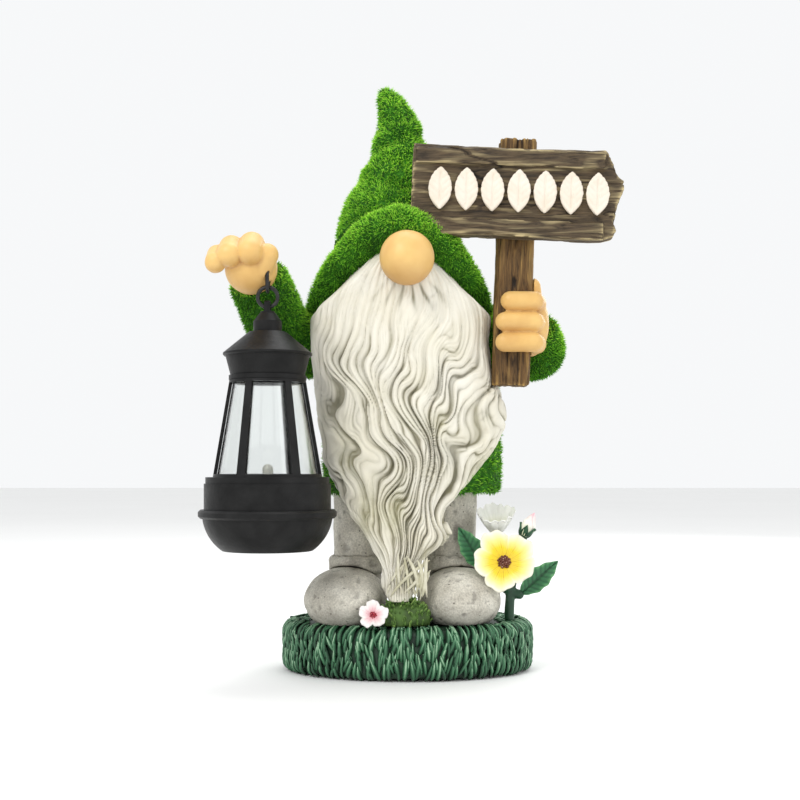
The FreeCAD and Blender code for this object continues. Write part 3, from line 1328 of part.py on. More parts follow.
def make_door():
    plate = block("door_plate", door_length - d.barrel_radius, door_width, d.door_thickness,
                  x=barrel_x, y=-door_width / 2)
    barrel = rod("door_barrel", d.barrel_radius, door_width, x=barrel_x, y=door_width / 2,
                 z=d.barrel_radius, axis=X_AXIS, angle=90)
    whole = fused("door_whole", plate, barrel, hinge_pins("door_pins"))
    grip = rod("door_grip", door_width / 4, d.door_thickness, x=d.door_x + door_length / 2,
               z=-d.door_thickness / 2)
    cut_and_hang("battery_door", whole, grip)


def make_switch():
    """A slide switch: its thumb piece shows in the foot's slot and its flange is kept in the case."""
    flange_x = d.thumb_width + 2 * d.flange_rim
    flange_y = d.thumb_length + 2 * d.flange_rim
    start_y = -d.switch_travel / 2
    thumb = block("switch_thumb", d.thumb_width, d.thumb_length, d.foot_wall + d.flange_height,
                  x=d.switch_x - d.thumb_width / 2, y=start_y - d.thumb_length / 2, z=d.thumb_sink)
    flange_z = d.foot_wall + d.switch_gap
    flange = block("switch_flange", flange_x, flange_y, d.flange_height,
                   x=d.switch_x - flange_x / 2, y=start_y - flange_y / 2, z=flange_z)
    hang("switch_slider", fused("switch_slider_whole", thumb, flange))
    room_x = flange_x + 2 * d.switch_gap
    room_y = flange_y + d.switch_travel + 2 * d.switch_gap
    room_z = d.flange_height + 3 * d.switch_gap
    wall = d.case_wall
    case = block("switch_case", room_x + 2 * wall, room_y + 2 * wall, room_z + wall,
                 x=d.switch_x - room_x / 2 - wall, y=-room_y / 2 - wall, z=d.foot_wall)
    room = block("switch_room", room_x, room_y, room_z, x=d.switch_x - room_x / 2, y=-room_y / 2, z=d.foot_wall)
    cut_and_hang("switch_case_body", case, room)


# ---- everything in order, checked and written -----------------------------------------------------------

def check_document():
    doc.recompute()
    broken = [made.Name for made in doc.Objects if {"Invalid", "Error"} & set(made.State)]
    if broken:
        raise RuntimeError("these objects failed: " + ", ".join(broken))
    for name, made in parts.items():
        if made.Shape.isNull() or not made.Shape.isValid() or not made.Shape.Solids:
            raise RuntimeError(f"{name} has no valid solid")


def write_parts():
    os.makedirs("parts", exist_ok=True)
    for name, made in parts.items():
        made.Shape.exportStep(f"parts/{name}.step")


base_casting = make_base()
keepouts = make_feet()
make_coat()
make_head()
make_nose()
make_hat()
make_beard(keepouts)
make_sleeves()
make_hand_left()
make_hand_right()
make_post()
make_board()
make_ornaments()
make_pegs()
make_stems(base_casting)
make_flowers()
make_small_growth(base_casting)
make_ring()
make_bowl()
make_band()
make_deck()
make_screws()
make_pane()
make_cage()
make_collar()
make_roof()
make_knob()
make_lamp()
make_battery()
make_door()
make_switch()
check_document()
write_parts()
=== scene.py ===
"""Looks of the garden gnome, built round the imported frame.

Shapes are worked out in millimetres and stored in metres.
"""

import math

import bpy
import numpy as np
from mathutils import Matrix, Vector


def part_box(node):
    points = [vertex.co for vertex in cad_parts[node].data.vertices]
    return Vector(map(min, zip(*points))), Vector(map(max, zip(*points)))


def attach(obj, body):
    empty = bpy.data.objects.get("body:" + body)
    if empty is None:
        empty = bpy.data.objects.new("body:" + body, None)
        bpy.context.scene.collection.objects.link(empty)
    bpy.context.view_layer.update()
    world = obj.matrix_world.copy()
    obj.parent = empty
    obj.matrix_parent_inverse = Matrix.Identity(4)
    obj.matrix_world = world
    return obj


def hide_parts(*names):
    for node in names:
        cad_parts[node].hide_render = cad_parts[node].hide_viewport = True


MM = 0.001
FIGURE = "figure"
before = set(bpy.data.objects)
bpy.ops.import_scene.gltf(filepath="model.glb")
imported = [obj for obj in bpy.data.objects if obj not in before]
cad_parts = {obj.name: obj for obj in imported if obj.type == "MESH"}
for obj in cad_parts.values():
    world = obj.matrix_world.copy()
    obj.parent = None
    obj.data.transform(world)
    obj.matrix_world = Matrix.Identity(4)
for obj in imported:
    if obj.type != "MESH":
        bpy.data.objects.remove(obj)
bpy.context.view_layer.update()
scene = bpy.context.scene


# ---- numbers and noise -------------------------------------------------------------------------------------

def lattice(cell, seed):
    """A repeatable random value from 0 to 1 for each whole-number cell."""
    mixed = cell[:, 0] * 73856093 ^ cell[:, 1] * 19349663 ^ cell[:, 2] * 83492791 ^ (seed * 9973 + 17)
    mixed = ((mixed ^ (mixed >> 13)) * 1274126177) & 0xFFFFFFFF
    return ((mixed ^ (mixed >> 16)) & 0xFFFF) / 65535


def noise(points, size, seed=0):
    """Smooth noise from -1 to 1 whose bumps are about size across."""
    p = points / size
    cell = np.floor(p).astype(np.int64)
    part = p - cell
    part = part * part * (3 - 2 * part)
    total = np.zeros(len(p))
    for corner in range(8):
        step = np.array([corner & 1, corner >> 1 & 1, corner >> 2 & 1])
        weight = np.prod(np.where(step, part, 1 - part), axis=1)
        total += weight * lattice(cell + step, seed)
    return total * 2 - 1


def layered(points, size, seed=0, layers=3):
    total = np.zeros(len(points))
    for i in range(layers):
        total += noise(points, size / 2 ** i, seed + i) / 2 ** i
    return total / 1.6


def smooth_step(x, low, high):
    t = np.clip((x - low) / (high - low), 0, 1)
    return t * t * (3 - 2 * t)


def unit(v):
    return v / np.maximum(np.linalg.norm(v, axis=-1, keepdims=True), 1e-12)


def curve_through(x, xs, ys):
    """Smooth values at x from a table, by Catmull-Rom."""
    xs, ys = np.asarray(xs, float), np.asarray(ys, float)
    slope = np.gradient(ys, xs)
    i = np.clip(np.searchsorted(xs, x) - 1, 0, len(xs) - 2)
    width = xs[i + 1] - xs[i]
    t = np.clip((x - xs[i]) / width, 0, 1)
    return ((2 * t ** 3 - 3 * t ** 2 + 1) * ys[i] + (t ** 3 - 2 * t ** 2 + t) * width * slope[i]
            + (3 * t ** 2 - 2 * t ** 3) * ys[i + 1] + (t ** 3 - t ** 2) * width * slope[i + 1])


# ---- meshes ------------------------------------------------------------------------------------------------

def new_piece(name, verts, faces, material, body=FIGURE, slot=None, stands_for=(), smooth=True, **tones):
    """A mesh object from millimetre corners; tones are named numbers, one per corner."""
    mesh = bpy.data.meshes.new(name)
    verts = np.asarray(verts, float)
    groups = faces if isinstance(faces, list) else [faces]
    loops = np.concatenate([np.asarray(g).ravel() for g in groups])
    sizes = np.concatenate([np.full(len(g), np.asarray(g).shape[1]) for g in groups])
    starts = np.concatenate([[0], np.cumsum(sizes)[:-1]])
    mesh.vertices.add(len(verts))
    mesh.vertices.foreach_set("co", (verts * MM).ravel())
    mesh.loops.add(len(loops))
    mesh.loops.foreach_set("vertex_index", loops.astype(np.int32))
    mesh.polygons.add(len(sizes))
    mesh.polygons.foreach_set("loop_start", starts.astype(np.int32))
    mesh.update(calc_edges=True)
    mesh.validate()
    mesh.polygons.foreach_set("use_smooth", np.full(len(mesh.polygons), smooth))
    for tone, values in tones.items():
        mesh.attributes.new(tone, "FLOAT", "POINT").data.foreach_set("value", np.asarray(values, np.float32))
    ob = bpy.data.objects.new(name, mesh)
    scene.collection.objects.link(ob)
    mesh.materials.append(material)
    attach(ob, body)
    if stands_for:
        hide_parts(*stands_for)
    return ob


def joined(parts):
    """Several (corners, faces, tones...) pieces of mesh as one."""
    verts, faces, tones, at = [], [], [], 0
    for part in parts:
        verts.append(part[0])
        faces.append(part[1] + at)
        tones.append(part[2:])
        at += len(part[0])
    return [np.concatenate(verts), np.concatenate(faces)] + [np.concatenate(t) for t in zip(*tones)]


def skin_of(node, voxel, rounds=3):
    """Corners, faces and normals of a CAD node's surface, remeshed evenly and softened."""
    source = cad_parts[node]
    work = bpy.data.objects.new("work", source.data.copy())
    work.matrix_world = source.matrix_world
    scene.collection.objects.link(work)
    remesh = work.modifiers.new("even", "REMESH")
    remesh.mode = "VOXEL"
    remesh.voxel_size = voxel * MM
    soft = work.modifiers.new("soft", "SMOOTH")
    soft.iterations = rounds
    held = work.evaluated_get(bpy.context.evaluated_depsgraph_get())
    mesh = held.to_mesh()
    verts = np.empty(len(mesh.vertices) * 3)
    mesh.vertices.foreach_get("co", verts)
    verts = verts.reshape(-1, 3)
    turn = np.array(work.matrix_world)
    verts = (verts @ turn[:3, :3].T + turn[:3, 3]) / MM
    faces = np.empty(len(mesh.polygons) * 4, np.int32)
    mesh.polygons.foreach_get("vertices", faces)
    faces = faces.reshape(-1, 4)
    held.to_mesh_clear()
    bpy.data.objects.remove(work)
    return verts, faces, normals_of(verts, faces)


def normals_of(verts, faces):
    a, b, c, e = (verts[faces[:, i]] for i in range(4))
    flat = np.cross(c - a, e - b)
    total = np.zeros_like(verts)
    for i in range(4):
        np.add.at(total, faces[:, i], flat)
    return unit(total)


def softened(verts, faces, rounds):
    """Moves each corner halfway to the mean of its neighbours, as often as rounds says."""
    edges = np.concatenate([faces[:, [i, (i + 1) % 4]] for i in range(4)])
    count = np.bincount(edges[:, 0], minlength=len(verts))[:, None]
    for _ in range(rounds):
        total = np.zeros_like(verts)
        np.add.at(total, edges[:, 0], verts[edges[:, 1]])
        moved = total / np.maximum(count, 1)
        verts = verts + 0.5 * (moved - verts)
    return verts


def scattered(verts, faces, normals, count, rng):
    """Random places on a mesh of quads, evenly by area, with the normal there."""
    a, b, c, e = (verts[faces[:, i]] for i in range(4))
    area = np.linalg.norm(np.cross(c - a, e - b), axis=1) / 2
    face = rng.choice(len(faces), count, p=area / area.sum())
    u, v = rng.random((2, count, 1))
    mix = [(1 - u) * (1 - v), u * (1 - v), u * v, (1 - u) * v]
    place = sum(m * verts[faces[face, i]] for i, m in enumerate(mix))
    normal = unit(sum(m * normals[faces[face, i]] for i, m in enumerate(mix)))
    return place, normal


def needles(places, directions, lengths, widths, rng):
    """Closed, pointed fibres: three corners at the root and one at the tip."""
    count = len(places)
    side = unit(np.cross(directions, rng.normal(size=(count, 3))))
    other = np.cross(directions, side)
    root = places - directions * 0.35
    corners = []
    for i in range(3):
        angle = 2 * math.pi * i / 3
        corners.append(root + (side * math.cos(angle) + other * math.sin(angle)) * widths[:, None])
    corners.append(places + directions * lengths[:, None])
    verts = np.stack(corners, 1).reshape(-1, 3)
    at = np.arange(count)[:, None] * 4
    faces = np.concatenate([at + [0, 1, 3], at + [1, 2, 3], at + [2, 0, 3], at + [0, 2, 1]])
    tip = np.tile([0.0, 0.0, 0.0, 1.0], count)
    return verts, faces, tip


def blade_strip(path, widths, thick, up):
    """A closed, pointed blade along a path: a flattened tube of four-cornered rings."""
    path = np.asarray(path, float)
    along = unit(np.gradient(path, axis=0))
    side = unit(np.cross(along, up))
    face = np.cross(side, along)
    w = np.asarray(widths, float)[:, None]
    rings = np.stack([path + side * w, path + face * thick, path - side * w, path - face * thick], 1)
    count = len(path)
    verts = rings.reshape(-1, 3)
    faces = []
    for i in range(count - 1):
        for j in range(4):
            faces.append((i * 4 + j, i * 4 + (j + 1) % 4, i * 4 + 4 + (j + 1) % 4, i * 4 + 4 + j))
    faces.append((3, 2, 1, 0))
    last = (count - 1) * 4
    faces.append((last, last + 1, last + 2, last + 3))
    tone = np.repeat(np.linspace(0, 1, count), 4)
    return verts, np.array(faces), tone


def tube(path, radii, sides=10):
    """A closed round tube along a path."""
    path = np.asarray(path, float)
    along = unit(np.gradient(path, axis=0))
    guide = np.where(np.abs(along[:, 2:3]) > 0.9, [[1.0, 0, 0]], [[0, 0, 1.0]])
    side = unit(np.cross(along, guide))
    other = np.cross(along, side)
    angle = np.linspace(0, 2 * math.pi, sides, endpoint=False)
    r = np.broadcast_to(np.asarray(radii, float), (len(path),))[:, None, None]
    ring = side[:, None] * np.cos(angle)[None, :, None] + other[:, None] * np.sin(angle)[None, :, None]
    verts = (path[:, None] + ring * r).reshape(-1, 3)
    verts = np.concatenate([verts, path[:1], path[-1:]])
    faces = []
    for i in range(len(path) - 1):
        for j in range(sides):
            k = (j + 1) % sides
            faces.append((i * sides + j, i * sides + k, (i + 1) * sides + k, (i + 1) * sides + j))
    first, last = len(path) * sides, len(path) * sides + 1
    end = (len(path) - 1) * sides
    for j in range(0, sides, 2):
        a, b, c = j, (j + 1) % sides, (j + 2) % sides
        faces.append((first, c, b, a))
        faces.append((last, end + a, end + b, end + c))
    return verts, np.array(faces)


def grid_faces(rows, columns, wrap=False):
    """Quads of a grid of rows by columns; wrap joins the last column to the first."""
    i, j = np.meshgrid(np.arange(rows - 1), np.arange(columns if wrap else columns - 1), indexing="ij")
    k = (j + 1) % columns
    near, far = i * columns, (i + 1) * columns
    return np.stack([near + j, near + k, far + k, far + j], -1).reshape(-1, 4)


def box_of(node):
    """A CAD node's box: its low and high corners, its middle and its half sizes."""
    low, high = (np.array(c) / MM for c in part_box(node))
    return low, high, (low + high) / 2, (high - low) / 2

# ---- materials ---------------------------------------------------------------------------------------------

class Paint:
    """Builds one node material step by step."""

    def __init__(self, name, roughness, **sockets):
        self.material = bpy.data.materials.new(name)
        self.material.use_nodes = True
        self.nodes = self.material.node_tree.nodes
        self.links = self.material.node_tree.links
        self.shader = self.nodes["Principled BSDF"]
        self.shader.inputs["Roughness"].default_value = roughness
        for socket, value in sockets.items():
            self.shader.inputs[socket.replace("_", " ")].default_value = value
        coordinates = self.nodes.new("ShaderNodeTexCoord")
        self.place = coordinates.outputs["Object"]

    def stretch(self, x, y, z):
        node = self.nodes.new("ShaderNodeMapping")
        node.inputs["Scale"].default_value = (x, y, z)
        self.links.new(self.place, node.inputs["Vector"])
        return node.outputs["Vector"]

    def cloud(self, size, detail=4, place=None, rough=0.55):
        """Noise from 0 to 1 with features about size millimetres across."""
        node = self.nodes.new("ShaderNodeTexNoise")
        node.inputs["Scale"].default_value = 1 / (size * MM)
        node.inputs["Detail"].default_value = detail
        node.inputs["Roughness"].default_value = rough
        self.links.new(place or self.place, node.inputs["Vector"])
        return node.outputs["Fac"]

    def dots(self, size):
        node = self.nodes.new("ShaderNodeTexVoronoi")
        node.inputs["Scale"].default_value = 1 / (size * MM)
        self.links.new(self.place, node.inputs["Vector"])
        return node.outputs["Distance"]

    def tone(self, name):
        node = self.nodes.new("ShaderNodeAttribute")
        node.attribute_name = name
        return node.outputs["Fac"]

    def ramp(self, value, *stops):
        """Colours, or greys, at places from 0 to 1 along value."""
        node = self.nodes.new("ShaderNodeValToRGB")
        while len(node.color_ramp.elements) < len(stops):
            node.color_ramp.elements.new(0.5)
        for element, (position, colour) in zip(node.color_ramp.elements, stops):
            element.position = position
            element.color = (*colour, 1) if isinstance(colour, tuple) else (colour, colour, colour, 1)
        self.links.new(value, node.inputs["Fac"])
        return node.outputs["Color"]

    def blend(self, amount, first, second, mode="MIX"):
        node = self.nodes.new("ShaderNodeMix")
        node.data_type = "RGBA"
        node.blend_type = mode
        for socket, value in ((0, amount), (6, first), (7, second)):
            if isinstance(value, (int, float)):
                node.inputs[socket].default_value = value if socket == 0 else (value, value, value, 1)
            elif isinstance(value, tuple):
                node.inputs[socket].default_value = (*value, 1)
            else:
                self.links.new(value, node.inputs[socket])
        return node.outputs[2]

    def sum(self, first, second, kind="MULTIPLY"):
        node = self.nodes.new("ShaderNodeMath")
        node.operation = kind
        for socket, value in ((0, first), (1, second)):
            if isinstance(value, (int, float)):
                node.inputs[socket].default_value = value
            else:
                self.links.new(value, node.inputs[socket])
        return node.outputs[0]

    def finish(self, colour, roughness=None, height=None, depth=0.3):
        """Links colour, and where given roughness and a bump of depth millimetres."""
        self.links.new(colour, self.shader.inputs["Base Color"])
        if roughness is not None:
            self.links.new(roughness, self.shader.inputs["Roughness"])
        if height is not None:
            bump = self.nodes.new("ShaderNodeBump")
            bump.inputs["Distance"].default_value = depth * MM
            self.links.new(height, bump.inputs["Height"])
            self.links.new(bump.outputs["Normal"], self.shader.inputs["Normal"])
        return self.material


def turf_paint():
    p = Paint("turf_flock", 0.85, Specular_IOR_Level=0.2, Sheen_Weight=0.08, Sheen_Roughness=0.5,
              Sheen_Tint=(0.6, 0.9, 0.3, 1))
    # Painted shade and light: by the tip tone the colour runs from nearly black deep in the flock to bright green
    # at the fibre tips.
    depth = p.ramp(p.tone("tip"), (0.0, (0.004, 0.034, 0.003)), (0.22, (0.035, 0.17, 0.008)),
                   (0.50, (0.22, 0.62, 0.04)), (0.85, (0.62, 1.0, 0.14)))
    mottle = p.ramp(p.cloud(9, 3), (0.3, (0.62, 0.75, 0.6)), (0.7, (1.25, 1.15, 1.0)))
    fine = p.ramp(p.cloud(1.1, 2), (0.3, (0.6, 0.65, 0.6)), (0.7, (1.25, 1.2, 1.1)))
    return p.finish(p.blend(1.0, p.blend(1.0, depth, mottle, "MULTIPLY"), fine, "MULTIPLY"))


def beard_paint():
    p = Paint("beard_paint", 0.6, Specular_IOR_Level=0.35)
    cream = p.ramp(p.cloud(26, 3), (0.3, (0.70, 0.66, 0.53)), (0.7, (0.79, 0.76, 0.67)))
    # Painted shade: the grooves are darkened towards this colour by the groove tone, broken up by a cloud.
    groove_shade_colour = p.ramp(p.cloud(14, 4), (0.35, (0.13, 0.12, 0.075)), (0.65, (0.24, 0.22, 0.13)))
    groove = p.ramp(p.tone("groove"), (0.0, 0.0), (0.35, 0.22), (0.8, 1.0))
    patchy = p.sum(groove, p.ramp(p.cloud(18, 3), (0.3, 0.55), (0.7, 1.0)))
    groove_shaded = p.blend(patchy, cream, groove_shade_colour)
    low = p.ramp(p.tone("stain"), (0.0, 0.0), (1.0, 0.75))
    olive = p.ramp(p.cloud(5, 4), (0.4, (0.34, 0.32, 0.16)), (0.65, (0.62, 0.60, 0.42)))
    rough = p.ramp(p.cloud(3, 3), (0.3, 0.5), (0.7, 0.7))
    return p.finish(p.blend(low, groove_shaded, olive), rough, p.cloud(0.8, 3), 0.08)


def skin_paint():
    p = Paint("skin_paint", 0.42, Specular_IOR_Level=0.4)
    base = p.ramp(p.cloud(16, 3), (0.3, (0.66, 0.39, 0.12)), (0.7, (0.76, 0.50, 0.18)))
    # Painted shade: the shade tone darkens the skin towards deep brown in creases and on faces turned down or
    # away.
    shade_amount = p.ramp(p.tone("shade"), (0.0, 0.0), (1.0, 0.8))
    shaded = p.blend(shade_amount, base, (0.42, 0.20, 0.07))
    rough = p.ramp(p.cloud(2.5, 3), (0.3, 0.36), (0.7, 0.52))
    return p.finish(shaded, rough, p.cloud(0.9, 2), 0.04)


def stone_paint():
    p = Paint("speckled_stone", 0.8, Specular_IOR_Level=0.3)
    base = p.ramp(p.cloud(12, 5), (0.3, (0.46, 0.43, 0.36)), (0.7, (0.72, 0.69, 0.60)))
    grain = p.ramp(p.cloud(0.9, 3, rough=0.7), (0.35, 0.72), (0.65, 1.12))
    grained = p.blend(1.0, base, grain, "MULTIPLY")
    specks = p.ramp(p.dots(2.6), (0.10, 1.0), (0.17, 0.0))
    few = p.sum(specks, p.ramp(p.cloud(5, 2), (0.48, 0.0), (0.56, 0.85)))
    speckled = p.blend(few, grained, (0.05, 0.045, 0.04))
    # Painted shade: the shade tone darkens the stone towards near black in creases, pits and on faces turned
    # down, with some random mottle.
    dark = p.ramp(p.tone("shade"), (0.0, 0.0), (1.0, 0.85))
    return p.finish(p.blend(dark, speckled, (0.10, 0.095, 0.085)), None,
                    p.sum(p.cloud(1.2, 4), p.sum(few, -1.2), "ADD"), 0.25)


def wood_paint(name, deep, mid, light, streak):
    """Carved wood: darkened in the grooves, dry-brushed light on the ridges."""
    p = Paint(name, 0.62, Specular_IOR_Level=0.35)
    long = p.stretch(*streak)
    fibre = p.ramp(p.cloud(0.8, 5, long, 0.7), (0.30, 0.0), (0.70, 1.0))
    body = p.blend(fibre, deep, mid)
    high = p.ramp(p.tone("ridge"), (0.55, 0.0), (1.0, 1.0))
    brushed = p.sum(high, p.ramp(p.cloud(1.0, 4, long), (0.4, 0.2), (0.6, 1.0)))
    lit = p.blend(brushed, body, light)
    groove = p.ramp(p.tone("ridge"), (0.0, 0.9), (0.35, 0.0))
    return p.finish(p.blend(groove, lit, tuple(c * 0.25 for c in deep)), None, fibre, 0.25)


def plain_paint(name, low, high, size, roughness, bump=0.05, **sockets):
    """Two close colours in soft patches, with a faint surface."""
    p = Paint(name, roughness, **sockets)
    rough = p.ramp(p.cloud(size / 4, 3), (0.3, roughness * 0.85), (0.7, min(roughness * 1.15, 1)))
    return p.finish(p.ramp(p.cloud(size, 4), (0.3, low), (0.7, high)), rough, p.cloud(size / 6, 3), bump)


def toned_paint(name, stops, roughness):
    """Colour by a tone kept in the mesh, broken up a little."""
    p = Paint(name, roughness)
    colour = p.ramp(p.tone("tone"), *stops)
    patch = p.ramp(p.cloud(3, 4), (0.3, (0.84, 0.84, 0.84)), (0.7, (1.08, 1.08, 1.08)))
    return p.finish(p.blend(1.0, colour, patch, "MULTIPLY"), None, p.cloud(1, 3), 0.06)


TURF = turf_paint()
BEARD = beard_paint()
SKIN = skin_paint()
STONE = stone_paint()
BOARD_WOOD = wood_paint("sign_wood", (0.016, 0.011, 0.007), (0.13, 0.088, 0.045), (0.62, 0.50, 0.26),
                        (0.07, 1, 1))
POST_WOOD = wood_paint("post_wood", (0.022, 0.012, 0.005), (0.20, 0.105, 0.030), (0.55, 0.34, 0.10),
                       (1, 1, 0.07))
CREAM = plain_paint("ornament_cream", (0.72, 0.63, 0.51), (0.80, 0.72, 0.62), 8, 0.5)
GRASS = toned_paint("painted_grass", ((0.0, (0.003, 0.016, 0.007)), (0.40, (0.012, 0.070, 0.028)),
                                      (0.72, (0.045, 0.17, 0.075)), (1.0, (0.38, 0.58, 0.38))), 0.55)
TUFT = toned_paint("painted_tuft", ((0.0, (0.03, 0.06, 0.01)), (0.5, (0.10, 0.21, 0.03)),
                                    (1.0, (0.36, 0.48, 0.14))), 0.7)
BLACK = plain_paint("black_plastic", (0.006, 0.006, 0.006), (0.016, 0.016, 0.016), 9, 0.40, 0.10,
                    Specular_IOR_Level=0.15)


def clear_plastic():
    p = Paint("clear_plastic", 0.08, IOR=1.49, Transmission_Weight=1.0)
    p.shader.inputs["Base Color"].default_value = (0.93, 0.95, 0.94, 1)
    height = p.cloud(14, 2)
    bump = p.nodes.new("ShaderNodeBump")
    bump.inputs["Distance"].default_value = 0.05 * MM
    p.links.new(height, bump.inputs["Height"])
    p.links.new(bump.outputs["Normal"], p.shader.inputs["Normal"])
    return p.material


CLEAR = clear_plastic()
WIRE = plain_paint("black_wire", (0.012, 0.012, 0.012), (0.03, 0.03, 0.03), 3, 0.35, 0.03, Metallic=0.4)
STEEL = plain_paint("steel", (0.45, 0.45, 0.44), (0.60, 0.60, 0.59), 4, 0.3, 0.02, Metallic=1.0)
BOARD_GREEN = plain_paint("circuit_green", (0.01, 0.10, 0.03), (0.02, 0.16, 0.06), 6, 0.4)
LENS = plain_paint("lamp_lens", (0.80, 0.78, 0.66), (0.92, 0.90, 0.80), 3, 0.15, 0.02)
RESIN = plain_paint("cast_resin", (0.55, 0.53, 0.49), (0.68, 0.66, 0.61), 7, 0.7)
MATTE_BLACK = plain_paint("black_plastic_matte", (0.014, 0.014, 0.014), (0.03, 0.03, 0.03), 6, 0.6, 0.08)


# ---- turf: the hat, the coat and its sleeves ---------------------------------------------------------------

FIBRE_LENGTH = 2.6
TURF_SINK = 0.9     # how far the core lies under the surface, to leave room for the fibres

def turf(node, count, seed, voxel=1.1, swell=None, skin=None):
    """A node covered in short fibres: a bumpy core and closed needles that stand on it."""
    verts, faces, normals = skin or skin_of(node, voxel, 4)
    if swell is not None:
        verts = verts + swell(verts, normals)
        verts = softened(verts, faces, 1)
        normals = normals_of(verts, faces)
    lumps = 0.7 * layered(verts, 11, seed) + 0.35 * noise(verts, 3.2, seed + 9)
    verts = verts + normals * (lumps - TURF_SINK)[:, None]
    normals = normals_of(verts, faces)
    # The core takes a low tip tone, so it is painted dark: painted shade under the fibres.
    tone = 0.14 + 0.12 * noise(verts, 2, seed + 3)
    new_piece(f"{node}_turf", verts, faces, TURF, slot="turf_flock", stands_for=(node,),
              tip=np.clip(tone, 0, 1))
    rng = np.random.default_rng(seed + 100)
    place, normal = scattered(verts, faces, normals, count, rng)
    lean = np.stack([noise(place, 6, seed + 11), noise(place, 6, seed + 12), noise(place, 6, seed + 13)], 1)
    loose = rng.normal(scale=0.38, size=normal.shape)
    direction = unit(normal + 0.55 * lean + loose + np.array([0, 0, -0.12]))
    lengths = rng.uniform(0.45, 1.0, count) * FIBRE_LENGTH
    widths = rng.uniform(0.24, 0.42, count)
    fibres, sides, tip = needles(place, direction, lengths, widths, rng)
    # Painted light: fibres that face up, and a little towards the front, get brighter tips; those that face down
    # stay darker, painted shade.
    lit = 0.52 + 0.85 * smooth_step(normal[:, 2] - 0.25 * normal[:, 1], -0.50, 0.75)
    reach = np.repeat(rng.uniform(0.45, 1.0, count) * (0.6 + 0.4 * lengths / FIBRE_LENGTH) * lit, 4)
    new_piece(f"{node}_fibres", fibres, sides, TURF, slot="turf_flock", smooth=False,
              tip=np.clip(0.10 + 0.95 * tip * reach, 0, 1))


def hat_folds(verts, normals):
    """Soft creases where the crown was squeezed: two round the middle and one near the foot."""
    z, x = verts[:, 2], verts[:, 0]
    wave = 0.0
    for level, slope, depth, width in ((262, 0.35, 1.3, 3.2), (238, -0.25, 1.1, 3.5), (221, 0.30, 1.0, 4.0)):
        wave = wave - depth * np.exp(-((z - level - slope * (x + 4)) / width) ** 2)
        wave = wave + 0.6 * depth * np.exp(-((z - level - 6 - slope * (x + 4)) / width) ** 2)
    # the foot of the crown stays inside the brim's roll
    out = verts[:, :2] - np.array([-5.0, 1.0])
    reach = np.linalg.norm(out, axis=1)
    room = np.interp(z, [170, 195, 210, 222, 235], [27, 29, 31, 33, 60])
    pull = np.zeros_like(verts)
    pull[:, :2] = -out * (np.maximum(reach - room, 0) / np.maximum(reach, 1))[:, None]
    return normals * wave[:, None] + pull


# The brim's roll from its middle at the front round to the back: share of the way, x from the middle, y, z,
# half height, half depth.
BRIM_PATH = [(0, 0, -30, 213.5, 12, 11.5), (0.15, 12, -28.5, 210, 10.5, 11), (0.3, 22, -23, 202.5, 9, 10),
             (0.42, 32, -14, 192, 7.5, 9), (0.52, 38, -5, 182, 6, 7.5), (0.65, 38, 9, 174, 6.5, 8),
             (0.85, 20, 26, 167, 9.5, 8.5), (1, 0, 31, 165, 10, 8.5)]
BRIM_MIDDLE = -4.0


def brim_roll():
    """A rolled band that arches over the nose, comes down at both sides and closes behind the head."""
    rows, columns = 300, 60
    turn = np.linspace(-1, 1, rows, endpoint=False)
    table = np.array(BRIM_PATH)
    x, y, z, high, deep = (curve_through(np.abs(turn), table[:, 0], table[:, i]) for i in range(1, 6))
    x = BRIM_MIDDLE + np.sign(turn) * x
    path = np.stack([x, y, z], 1)
    along = unit(np.roll(path, -1, 0) - np.roll(path, 1, 0))
    out = unit(np.cross(along, [0, 0, 1.0]))
    over = np.cross(out, along)
    phi = np.linspace(0, 2 * math.pi, columns, endpoint=False)
    ring = (path[:, None] + (deep[:, None] * np.cos(phi))[..., None] * out[:, None]
            + (high[:, None] * np.sin(phi))[..., None] * over[:, None])
    i, j = np.meshgrid(np.arange(rows), np.arange(columns), indexing="ij")
    after, beside = (i + 1) % rows * columns, (j + 1) % columns
    faces = np.stack([i * columns + j, after + j, after + beside, i * columns + beside], -1).reshape(-1, 4)
    verts = ring.reshape(-1, 3)
    normals = normals_of(verts, faces)
    if np.sum(normals * (verts - np.repeat(path, columns, 0))) < 0:
        faces, normals = faces[:, ::-1], -normals
    return verts, faces, normals


turf("hat", 30000, seed=1, swell=hat_folds)
turf("hat_brim", 30000, seed=2, skin=brim_roll())
turf("coat", 34000, voxel=1.3, seed=3)
turf("sleeve_left", 12000, seed=4)
turf("sleeve_right", 12000, seed=5)


# ---- the beard ---------------------------------------------------------------------------------------------

